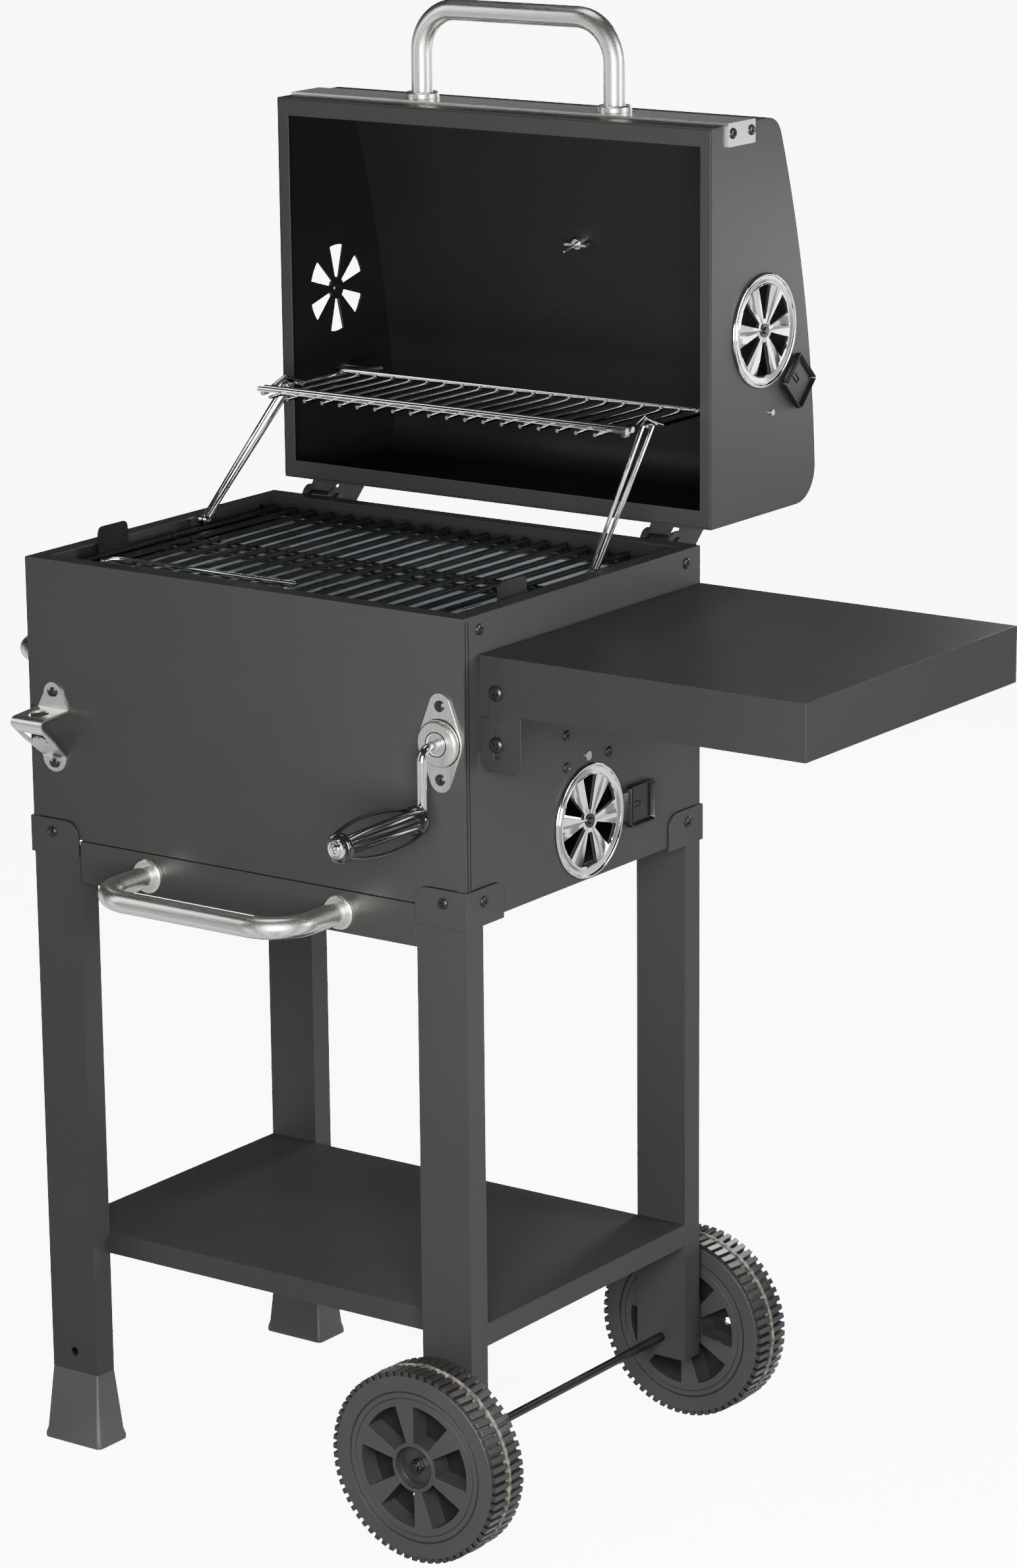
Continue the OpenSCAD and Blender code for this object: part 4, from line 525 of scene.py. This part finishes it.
grain_x = steel("steel_grained_across", (30, 1400, 1400))
grain_y = steel("steel_grained_back", (1400, 30, 1400))
grain_z = steel("steel_grained_up", (1400, 1400, 30))
for node, skin in (("drawer_handle", grain_x), ("side_handle", grain_y), ("lid_handle", grain_x)):
    finished(mesh_object(node + "_tube", copy_of(node)), node, [skin])
for node in ("drawer_handle_collars", "side_handle_collars", "lid_handle_collars"):
    finished(mesh_object(node + "_cups", copy_of(node)), node, [grain_z], 0.0005, 30)
finished(mesh_object("lid_strip", copy_of("lid_trim")), "lid_trim", [grain_x], 0.0004)
finished(mesh_object("crank_backing_plate", copy_of("crank_plate")), "crank_plate", [grain_z], 0.0005, 30)

# ---- Bottle opener ----
# A stainless strip cut to outline and bent three times: an ear on the wall, a shelf with a round hole, a
# rounded lip, then a web slanting back to the lower ear. A three cornered window in the web has a tongue
# that catches the cap.


def rounded_path(points, radii, steps=5):
    path = [Vector(points[0])]
    for before, here, after, r in zip(points, points[1:], points[2:], radii):
        before, here, after = Vector(before), Vector(here), Vector(after)
        a, b = (before - here).normalized(), (after - here).normalized()
        half = a.angle(b) / 2
        start, end = here + a * r / math.tan(half), here + b * r / math.tan(half)
        middle = here + (a + b).normalized() * r / math.sin(half)
        for i in range(steps + 1):
            spoke = (start - middle).slerp(end - middle, i / steps)
            path.append(middle + spoke.normalized() * r)
    path.append(Vector(points[-1]))
    return path


def arc(x, u, r, start, end, steps):
    return [(x + r * math.cos(math.radians(start + (end - start) * i / steps)),
             u + r * math.sin(math.radians(start + (end - start) * i / steps))) for i in range(steps + 1)]


def opener():
    low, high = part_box("bottle_opener")
    middle, reach, top, foot = (low.x + high.x) / 2, 0.0415, high.z, low.z
    shelf, web_end = top - 0.024, foot + 0.014
    path = rounded_path([(0, top), (0, shelf), (-reach, shelf - 0.003), (0, web_end), (0, foot)],
                        [0.002, 0.0035, 0.004])
    length = [0.0]
    for a, b in zip(path, path[1:]):
        length.append(length[-1] + (b - a).length)
    lip = length[12]
    full = length[-1]
    half, ear_r, foot_r = 0.017, 0.0098, 0.0129
    outline = arc(0, -ear_r, ear_r, 180, 0, 12) + [(0.0165, -0.0225), (half, -0.024), (half, -lip)]
    outline += [(half, -lip - 0.02), (foot_r, -full + 0.018)] + arc(0, -full + foot_r, foot_r, 0, -180, 12)
    outline += [(-foot_r, -full + 0.018), (-half, -lip - 0.02), (-half, -lip), (-half, -0.024),
                (-0.0165, -0.0225)]
    hole = arc(0, -(0.024 + lip) / 2 + 0.001, 0.0095, 0, 345, 23)
    window = [(-0.0125, -lip - 0.008), (0.0125, -lip - 0.008), (0.0118, -lip - 0.0135), (0.009, -lip - 0.023)]
    window += arc(0, -lip - 0.0225, 0.0072, 0, 180, 8) + [(-0.009, -lip - 0.023), (-0.0118, -lip - 0.0135)]
    bm = bmesh.new()
    for loop in (outline, hole, window):
        verts = [bm.verts.new((x, 0, u)) for x, u in loop]
        for a, b in zip(verts, verts[1:] + verts[:1]):
            bm.edges.new((a, b))
    bmesh.ops.triangle_fill(bm, edges=bm.edges[:], use_beauty=True)
    for u in length[1:-1]:
        bmesh.ops.bisect_plane(bm, geom=bm.verts[:] + bm.edges[:] + bm.faces[:], plane_co=(0, 0, -u),
                               plane_no=(0, 0, 1))
    for v in bm.verts:
        along = min(max(-v.co.z, 0.0), full)
        i = max(k for k in range(len(length) - 1) if length[k] <= along)
        spot = path[i].lerp(path[i + 1], (along - length[i]) / (length[i + 1] - length[i]))
        v.co = Vector((middle + v.co.x, high.y + spot.x, spot.y))
    bmesh.ops.recalc_face_normals(bm, faces=bm.faces)
    if sum(f.normal.y * f.calc_area() for f in bm.faces) > 0:
        bmesh.ops.reverse_faces(bm, faces=bm.faces)
    bmesh.ops.solidify(bm, geom=bm.faces[:], thickness=-0.0018)
    bmesh.ops.recalc_face_normals(bm, faces=bm.faces)
    finished(mesh_object("opener_strip", bm), "bottle_opener", [grain_x], 0.0004, 40)


opener()

# ---- Wheels ----
# Each wheel is one moulded shell of hard black green plastic: six pockets on either side of a thin web with
# one vent hole, and a ring of block lugs on either side of a parting rib that handling has rubbed grey brown.


def moulded(nodes, links, where, out):
    pits = noise(nodes, links, where, 700, 3)
    flow = noise(nodes, links, where, 14, 4)
    links.new(mixed(nodes, links, flow, 0.7, pits), out.inputs["Shade"])
    links.new(flow, out.inputs["Grip"])
    links.new(bumped(nodes, links, pits, 0.3, 0.00012), out.inputs["Normal"])


mould_skin = value_group("moulded_plastic", moulded)
wheel_plastic = coloured("wheel_plastic", mould_skin, (0.0135, 0.0148, 0.0138), (0.021, 0.0225, 0.021),
                         0.46, 0.6, specular=0.4)
# Darker plastic for the lugs and tread; it is also used on the hub recess floor as painted shade.
lug_plastic_and_recess_painted_shade = coloured("lug_plastic_and_recess_painted_shade", mould_skin, (0.008, 0.008, 0.0078), (0.014, 0.014, 0.0135), 0.3, 0.44)


def rubbed(nodes, links, where, out):
    patches = noise(nodes, links, where, 260, 5)
    links.new(mapped(nodes, links, patches, 0.42, 0.62, 0, 1), out.inputs["Shade"])
    links.new(patches, out.inputs["Grip"])
    links.new(bumped(nodes, links, patches, 0.8, 0.0004), out.inputs["Normal"])


rib_plastic = coloured("rubbed_rib", value_group("rubbed_rib_marks", rubbed), (0.022, 0.02, 0.017),
                       (0.13, 0.112, 0.085), 0.5, 0.8)

# Near black skin for the pocket floors: painted shade deep in the pockets, which are the wheel's own plastic.
pocket_painted_shade = coloured("pocket_painted_shade", mould_skin, (0.004, 0.0042, 0.004), (0.007, 0.0074, 0.007),
                          0.55, 0.7, specular=0.2)

axle_low, axle_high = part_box("wheel_axle")
axle = (axle_low + axle_high) / 2
wheel_radius, tread_radius, tread_edge = 0.085, 0.080, 0.0796
bore, hub_r, hub_rim, hub_deep = 0.0041, 0.0185, 0.0205, 0.008
boss_r, boss_out = 0.012, 0.0085
web, hole_r, hole_at = 0.003, 0.0035, 0.03725
lugs, rib_half = 64, 0.0018
pockets, cell_steps, open_steps, hole_steps = 6, 9, 6, 16
window_inner, window_outer, window_half = 0.022, 0.054, math.radians(20)


def round_place(centre, outward, radius, angle, depth):
    return centre + Vector((radius * math.cos(angle), -outward * depth, radius * math.sin(angle)))


def wheel_piece(node, outward, turned):
    low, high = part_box(node)
    inner = high.y - boss_out if outward > 0 else low.y + boss_out
    outer = low.y if outward > 0 else high.y
    centre = Vector((axle.x, inner, axle.z))
    width = abs(outer - inner)
    bm = bmesh.new()
    angles = []
    for k in range(pockets):
        middle = math.pi / 3 * k + turned
        angles += [middle + window_half * t / 3 for t in range(-3, 4)]
        angles += [middle + window_half + (math.pi / 3 - 2 * window_half) * t / 3 for t in (1, 2)]
    count = len(angles)
    open_cell = [i % cell_steps < open_steps for i in range(count)]

    def ring(radius, depth):
        return [bm.verts.new(round_place(centre, outward, radius, a, depth)) for a in angles]

    def band(a, b, skin=0, cells=None):
        for i in range(count):
            if cells is None or cells[i]:
                j = (i + 1) % count
                bm.faces.new((a[i], a[j], b[j], b[i])).material_index = skin

    closed_cell = [not c for c in open_cell]
    hole_walls = []
    plane = width - 0.0006
    groove, ditch = width - 0.0016, width - 0.0022
    face = [ring(r, d) for r, d in ((hub_r, width - hub_deep), (hub_r, width), (hub_rim, width),
                                    (hub_rim, plane), (window_inner, plane))]
    for a, b in zip(face, face[1:]):
        band(a, b)
    middle_bore = ring(bore, width - hub_deep)
    # The hub recess floor takes the darker lug skin: painted shade.
    band(middle_bore, face[0], 1)
    rim_out = [ring(r, d) for r, d in (
        (window_outer, plane), (0.06, plane), (0.0602, groove), (0.0608, groove), (0.061, plane),
        (0.0652, plane), (0.0654, ditch), (0.0662, ditch), (0.0668, width), (tread_edge, width),
        (tread_radius, width - 0.0004), (tread_radius, 0.0004), (tread_edge, 0), (0.0668, 0),
        (0.0662, 0.0022), (0.0654, 0.0022), (0.0652, 0), (0.061, 0), (0.0608, 0.001), (0.0602, 0.001),
        (0.06, 0), (window_outer, 0))]
    tread = 10
    for number, (a, b) in enumerate(zip(rim_out, rim_out[1:])):
        band(a, b, 1 if number == tread else 0)
    back = [ring(window_inner, 0), ring(boss_r, 0), ring(boss_r, -boss_out), ring(bore, -boss_out)]
    for a, b in zip(back, back[1:]):
        band(a, b)
    band(back[-1], middle_bore)
    band(face[-1], rim_out[0], 0, closed_cell)
    band(rim_out[-1], back[0], 0, closed_cell)
    for hub_edge, rim_edge, depth in ((face[-1], rim_out[0], (width + web) / 2),
                                      (back[0], rim_out[-1], (width - web) / 2)):
        hub_floor, rim_floor = ring(window_inner, depth), ring(window_outer, depth)
        band(hub_edge, hub_floor, 0, open_cell)
        band(rim_floor, rim_edge, 0, open_cell)
        # The pocket floors take the near black skin: painted shade.
        band(hub_floor, rim_floor, 3, [c and i >= cell_steps for i, c in enumerate(open_cell)])
        for i in range(count):
            if open_cell[i] != open_cell[i - 1]:
                bm.faces.new((hub_edge[i], rim_edge[i], rim_floor[i], hub_floor[i]))
        rim_of_hole = [bm.verts.new(round_place(centre, outward, hole_at, turned, depth)
                                    + hole_r * Vector((math.cos(a), 0, math.sin(a))))
                       for a in (2 * math.pi * k / hole_steps for k in range(hole_steps))]
        edges = [bm.edges.new((rim_of_hole[k], rim_of_hole[k - 1])) for k in range(hole_steps)]
        border = hub_floor[:open_steps + 1] + rim_floor[open_steps::-1]
        edges += [bm.edges.get((border[k], border[k - 1])) or bm.edges.new((border[k], border[k - 1]))
                  for k in range(len(border))]
        # The floor round the vent hole is painted near black too: painted shade.
        for filled in bmesh.ops.triangle_fill(bm, edges=edges, use_beauty=True)["geom"]:
            if isinstance(filled, bmesh.types.BMFace):
                filled.material_index = 3
        hole_walls.append(rim_of_hole)
    for k in range(hole_steps):
        bm.faces.new((hole_walls[0][k], hole_walls[0][k - 1], hole_walls[1][k - 1], hole_walls[1][k]))
    loose = [v for v in bm.verts if not v.link_faces]
    bmesh.ops.delete(bm, geom=loose, context="VERTS")
    bmesh.ops.recalc_face_normals(bm, faces=bm.faces)
    pitch = 2 * math.pi / lugs
    for near, far, start in ((width / 2 - rib_half, 0.0003, 0.25),
                             (width / 2 + rib_half, width - 0.0003, 0.75)):
        for k in range(lugs):
            lug = bmesh.ops.create_cube(bm, size=1)["verts"]
            for side in {f for v in lug for f in v.link_faces}:
                side.material_index = 1
            for v in lug:
                depth, lean, top = (near, 0, 0.0011) if v.co.x < 0 else (far, 0.12, 0.0007)
                radius, half = (tread_radius - 0.003, 0.36) if v.co.y < 0 else (wheel_radius - top, 0.3)
                turn = (k + start + lean + math.copysign(half, v.co.z)) * pitch
                v.co = round_place(centre, outward, radius, turn, depth)
    rib = [ring(r, width / 2 + d) for r, d in (
        (0.079, -rib_half), (wheel_radius - 0.0003, -0.0015), (wheel_radius, -0.0011), (wheel_radius, 0.0011),
        (wheel_radius - 0.0003, 0.0015), (0.079, rib_half))]
    for a, b in zip(rib, rib[1:]):
        band(a, b, 2)
    bmesh.ops.recalc_face_normals(bm, faces=bm.faces)
    skins = [wheel_plastic, lug_plastic_and_recess_painted_shade, rib_plastic, pocket_painted_shade]
    finished(mesh_object(node + "_shell", bm), node, skins, 0.0005, 28)


wheel_piece("wheel_front", 1, math.radians(250))
wheel_piece("wheel_rear", -1, math.radians(10))
gloss_black = coloured("gloss_black", mould_skin, (0.003, 0.003, 0.003), (0.006, 0.006, 0.006), 0.1, 0.2,
                       coat=0.4)
finished(mesh_object("axle_rod", copy_of("wheel_axle")), "wheel_axle", [black_oxide], 0.0004, 30)
finished(mesh_object("axle_nut_pair", copy_of("axle_nuts")), "axle_nuts", [gloss_black], 0.0004, 30)

# ---- Feet ----
# Two hollow plastic boots are pushed on the left legs; they flare to a flat pad with a bead round it.
# They're the same plastic as the wheels.

foot_plastic = coloured("foot_plastic", mould_skin, (0.024, 0.0255, 0.024), (0.034, 0.0355, 0.033), 0.4, 0.55)
finished(mesh_object("foot_boots", copy_of("feet")), "feet", [foot_plastic], 0.001, 30, 3)

# ---- Crank and lift ----
# A chromed 8 mm rod bent to a crank turns a pinion that lifts the charcoal pan on a rack.
# Its grip is glossy black plastic: a fluted core between two collars inside a cage of four bowed ribs.

chrome = coloured("bright_chrome", value_group("polished_metal", oiled), (0.72, 0.73, 0.75),
                  (0.88, 0.88, 0.89), 0.04, 0.13, metallic=1.0)
zinc = coloured("zinc_plate", value_group("zinc_bloom", oiled), (0.28, 0.28, 0.27), (0.42, 0.41, 0.38),
                0.3, 0.5, metallic=1.0)


def tube(bm, path, radius, sides):
    forward = (path[1] - path[0]).normalized()
    side = forward.orthogonal().normalized()
    rings = []
    for i, spot in enumerate(path):
        ahead = (path[min(i + 1, len(path) - 1)] - path[max(i - 1, 0)]).normalized()
        side = (side - ahead * side.dot(ahead)).normalized()
        up = ahead.cross(side)
        rings.append([bm.verts.new(spot + radius * (math.cos(a) * side + math.sin(a) * up))
                      for a in (2 * math.pi * k / sides for k in range(sides))])
    for a, b in zip(rings, rings[1:]):
        for k in range(sides):
            bm.faces.new((a[k], a[(k + 1) % sides], b[(k + 1) % sides], b[k]))
    bm.faces.new(rings[0][::-1])
    bm.faces.new(rings[-1])


def turned_part(bm, origin, axis, profile, steps=40, flutes=0, depth=0.0):
    side = axis.orthogonal().normalized()
    up = axis.cross(side)
    section = [(r, h) for r, h, *fluted in profile]
    fluted_at = [h for r, h, *fluted in profile if fluted]
    for v in lathe(bm, origin, axis, side, section + [(0, section[-1][1])], steps):
        away = v.co - origin
        h = away.dot(axis)
        if any(abs(h - mark) < 0.00001 for mark in fluted_at):
            away -= axis * h
            turn = math.atan2(away.dot(up), away.dot(side))
            v.co -= away.normalized() * depth * (0.5 + 0.5 * math.cos(flutes * turn))


grip_low, grip_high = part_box("grip_core")
rod_low, rod_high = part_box("crank_rod")
crank_x = (rod_low.x + rod_high.x) / 2
grip_z = (grip_low.z + grip_high.z) / 2
rod_r = 0.004
crank_z = rod_high.z - rod_r
arm_y = at(0, -27, 0).y
path = rounded_path([(rod_high.y, crank_z), (arm_y, crank_z), (arm_y, grip_z), (grip_low.y, grip_z)],
                    [0.011, 0.005], 10)
bm = bmesh.new()
tube(bm, [Vector((crank_x, y, z)) for y, z in path], rod_r, 20)
cap = Vector((crank_x, grip_low.y, grip_z))
turned_part(bm, cap, Vector((0, -1, 0)), [(0.0085, 0), (0.0085, 0.0008), (0.0078, 0.0018), (0.0064, 0.002),
                                          (0.006, 0.0012), (0.003, 0.0012)])
cross_head(bm, cap + Vector((0, -0.0012, 0)), Vector((0, -1, 0)), 0.0055, 0.0032, 0.5, 0.003)
bmesh.ops.recalc_face_normals(bm, faces=bm.faces)
finished(mesh_object("crank_bent_rod", bm), "crank_rod", [chrome], 0.0, 40)

collar_y = arm_y - 0.005
bm = bmesh.new()
length = collar_y - grip_low.y
collar_r = 0.0125
turned_part(bm, Vector((crank_x, grip_low.y, grip_z)), Vector((0, 1, 0)), [
    (rod_r, 0), (0.0112, 0), (0.0122, 0.0008), (collar_r, 0.002), (collar_r, 0.0055), (0.0118, 0.007),
    (0.0085, 0.009), (0.0077, 0.011, 1), (0.0084, length * 0.4, 1), (0.0095, length - 0.013, 1),
    (0.0098, length - 0.011), (0.0118, length - 0.0085), (collar_r, length - 0.007),
    (collar_r, length - 0.002), (0.0115, length), (rod_r, length)], 96, 12, 0.0016)
bmesh.ops.recalc_face_normals(bm, faces=bm.faces)
finished(mesh_object("grip_core_moulding", bm), "grip_core", [gloss_black], 0.0, 40)

rib_start, rib_r, rib_in, rib_bow = 0.005, 0.0016, 0.0112, 0.0072
bm = bmesh.new()
for k in range(4):
    turn = math.pi / 2 * k + math.pi / 4
    spots = []
    for i in range(25):
        t = i / 12 - 1
        r = rib_in + rib_bow * (1 - t * t)
        y = grip_low.y + rib_start + (length - 2 * rib_start) * (t + 1) / 2
        spots.append(Vector((crank_x + r * math.cos(turn), y, grip_z + r * math.sin(turn))))
    tube(bm, spots, rib_r, 10)
bmesh.ops.recalc_face_normals(bm, faces=bm.faces)
finished(mesh_object("grip_cage_ribs", bm), "grip_cage", [gloss_black], 0.0, 50)
for node in ("crank_pinion", "lift_bracket", "lift_guide", "lift_cradle"):
    finished(mesh_object(node + "_plated", copy_of(node)), node, [zinc], 0.0003, 35)

# ---- Painted shadow lines ----
# A fine dark line is painted on the sheet round the edge of each corner bracket and of the crank plate's
# raised boss: painted contact shadow where they meet the wall.

bm = bmesh.new()
wall_low, wall_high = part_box("firebox_left")[0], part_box("firebox_right")[1]
wall_low.y, wall_high.y = front_low.y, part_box("firebox_back")[1].y
for points in loose_parts("corner_brackets"):
    low, high = box_of(points)
    for flat, run in ((1, 0), (0, 1)):
        near_low = low[flat] < wall_low[flat]
        near_end = low[run] < wall_low[run]
        surface = wall_low[flat] if near_low else wall_high[flat]
        free, corner = (high[run], low[run] + 0.002) if near_end else (low[run], high[run] - 0.002)
        bottom = max(low.z, front_low.z + 0.0005)
        line = []
        for u, z in rounded_path([(free, bottom), (free, high.z), (corner, high.z), (corner, high.z - 0.014)],
                                 [0.013, 0.011], 6):
            spot = Vector((0, 0, z))
            spot[flat], spot[run] = surface, u
            line.append(spot)
        tube(bm, line, 0.0006, 6)
plate_low, plate_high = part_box("crank_plate")
turns = [math.pi * k / 24 for k in range(49)]
for radius, y in ((0.0197, plate_high.y - 0.0022), (0.0101, plate_low.y)):
    tube(bm, [Vector((crank_x + radius * math.cos(a), y, crank_z + radius * math.sin(a))) for a in turns],
         0.0005, 6)
added("painted_shadow_lines", bm, seam_and_painted_shadow, "cart")

# ---- Charcoal pan, ash drawer ----
# The pan is pressed steel in pale blue grey enamel. The drawer under the floor is plain sheet with a coated
# front; its tray keeps the mill's dull grey.

pan_enamel = coloured("pan_enamel", coat_skin, (0.3, 0.36, 0.39), (0.4, 0.46, 0.48), 0.3, 0.45)
finished(mesh_object("pan_pressing", copy_of("charcoal_pan")), "charcoal_pan", [pan_enamel], 0.0005)
finished(mesh_object("drawer_tray", copy_of("ash_tray")), "ash_tray", [zinc], 0.0004)
finished(mesh_object("drawer_panel", copy_of("drawer_front")), "drawer_front", [charcoal_coat], 0.0006)
panel_low, panel_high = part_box("drawer_front")
bm = bmesh.new()
plate(bm, Vector((panel_low.x + 0.002, panel_low.y + 0.0012, panel_high.z - 0.0016)),
      Vector((panel_high.x - 0.002, panel_low.y + 0.0085, panel_high.z - 0.0002)))
added("drawer_top_fold", bm, charcoal_coat, "ash_drawer")

# ---- Cooking grates ----
# Two welded grids of 5 mm wire in gloss black enamel rest on ledges; the front one has two lifting ears
# and a chromed wire bail that folds down flat.

grate_enamel = coloured("grate_enamel", mould_skin, (0.004, 0.004, 0.004), (0.008, 0.008, 0.008), 0.2, 0.34)
for node in ("grate_front", "grate_rear", "grate_rests"):
    finished(mesh_object(node + "_wires", copy_of(node)), node, [grate_enamel], 0.0, 38)
finished(mesh_object("bail_wire", copy_of("grate_bail")), "grate_bail", [chrome], 0.0, 40)

# ---- Warming rack ----
# Chromed wires spot welded on three cross wires hang in the lid on two pins, carried by two twin wire legs.

for node in ("warming_rack", "rack_leg_left", "rack_leg_right"):
    finished(mesh_object(node + "_wires", copy_of(node)), node, [chrome], 0.0, 40)

# ---- Vents and thermometer ----
# Three chromed pressings with rolled rims turn over six windows in the walls, each by a black scoop grip.


def round_spot(centre, spot):
    away = spot - centre
    return math.hypot(away.y, away.z), math.degrees(math.atan2(away.z, away.y))


def in_window(degrees):
    return abs(degrees % 60 - 30) < 15


def vent_pressing(node, outward, tab):
    low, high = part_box(node)
    rim_r = 0.0495
    centre = Vector((low.x if outward > 0 else high.x, low.y + rim_r, high.z - rim_r))
    profile = [(0.0027, 0.0011), (0.01, 0.0011), (0.0395, 0.0011), (0.0402, 0.0013), (0.0408, 0.0008),
               (0.0414, 0.0008), (0.0444, 0.0019), (0.045, 0.0019), (0.0456, 0.001), (0.0462, 0.001),
               (0.0468, 0.0018), (0.0476, 0.0024), (0.0484, 0.0024), (0.0491, 0.0019), (rim_r, 0.0011),
               (0.0493, 0.0006)]
    bm = bmesh.new()
    out = Vector((outward, 0, 0))
    lathe(bm, centre, out, Vector((0, 1, 0)), profile, 72)
    hub_r, petal_r, petal_lean = profile[1][0], profile[2][0], 0.00035
    windows = [f for f in bm.faces if hub_r < round_spot(centre, f.calc_center_median())[0] < petal_r
               and in_window(round_spot(centre, f.calc_center_median())[1])]
    bmesh.ops.delete(bm, geom=windows, context="FACES")
    for v in bm.verts:
        r, degrees = round_spot(centre, v.co)
        if min(abs(r - hub_r), abs(r - petal_r)) < 0.00001:
            across = (round(degrees) % 60) / 15 - 2
            v.co += out * petal_lean * max(-1, min(1, across))
    bmesh.ops.recalc_face_normals(bm, faces=bm.faces)
    if sum(f.normal.x * f.calc_area() for f in bm.faces) * outward < 0:
        bmesh.ops.reverse_faces(bm, faces=bm.faces)
    bmesh.ops.solidify(bm, geom=bm.faces[:], thickness=0.0006)
    a = math.radians(tab)
    along, over = Vector((0, math.cos(a), math.sin(a))), Vector((0, -math.sin(a), math.cos(a)))
    strip = Matrix((along * 0.011, over * 0.025, (0.0008, 0, 0))).transposed().to_4x4()
    strip.translation = centre + along * 0.0525 + out * 0.0013
    bmesh.ops.create_cube(bm, size=1, matrix=strip)
    bmesh.ops.recalc_face_normals(bm, faces=bm.faces)
    finished(mesh_object(node + "_pressing", bm), node, [chrome], 0.0, 40)
    return centre, along, over


satin_black = coloured("satin_black", mould_skin, (0.003, 0.003, 0.003), (0.005, 0.005, 0.005), 0.25, 0.38,
                       specular=0.3)


def rounded_square(width, height, r):
    loop = []
    for sx, sy, start in ((1, 1, 0), (-1, 1, 90), (-1, -1, 180), (1, -1, 270)):
        loop += [(sx * (width / 2 - r) + r * math.cos(math.radians(start + 18 * k)),
                  sy * (height / 2 - r) + r * math.sin(math.radians(start + 18 * k))) for k in range(6)]
    return loop


def scoop_grip(node, centre, outward, along, over):
    bm = bmesh.new()
    spot, sides = centre + along * 0.0715, 24

    def nest(sizes, shift=0.0):
        rings = []
        for width, height, r, h in sizes:
            rings.append([bm.verts.new(spot + along * (x + shift) + over * y + Vector((outward * h, 0, 0)))
                          for x, y in rounded_square(width, height, r)])
        for a, b in zip(rings, rings[1:]):
            for k in range(sides):
                bm.faces.new((a[k], a[(k + 1) % sides], b[(k + 1) % sides], b[k]))
        bm.faces.new(rings[-1])
        return rings[0]

    bottom = nest([(0.037, 0.036, 0.0035, 0.0018), (0.037, 0.036, 0.0035, 0.0062),
                   (0.0362, 0.0352, 0.0031, 0.0071), (0.0344, 0.0334, 0.0024, 0.0071),
                   (0.0336, 0.0326, 0.002, 0.0064), (0.0316, 0.0306, 0.0016, 0.0032)])
    bm.faces.new(bottom[::-1])
    nest([(0.0115, 0.005, 0.0004, 0.0031), (0.0115, 0.005, 0.0004, 0.0041), (0.01, 0.0036, 0.0003, 0.0041),
          (0.0098, 0.0034, 0.0003, 0.0033)], -0.005)
    nest([(0.0012, 0.0298, 0.0003, 0.0031), (0.0011, 0.0297, 0.0003, 0.0043)], -0.0115)
    bmesh.ops.recalc_face_normals(bm, faces=bm.faces)
    finished(mesh_object(node + "_scoop", bm), node, [satin_black], 0.0, 30)


for node, outward, tab in (("firebox_vent", 1, 0), ("lid_vent_left", -1, 0), ("lid_vent_right", 1, -45)):
    centre, along, over = vent_pressing(node, outward, tab)
    scoop_grip(node + "_grip", centre, outward, along, over)
finished(mesh_object("thermometer_dial", copy_of("thermometer")), "thermometer", [chrome], 0.0003, 30)
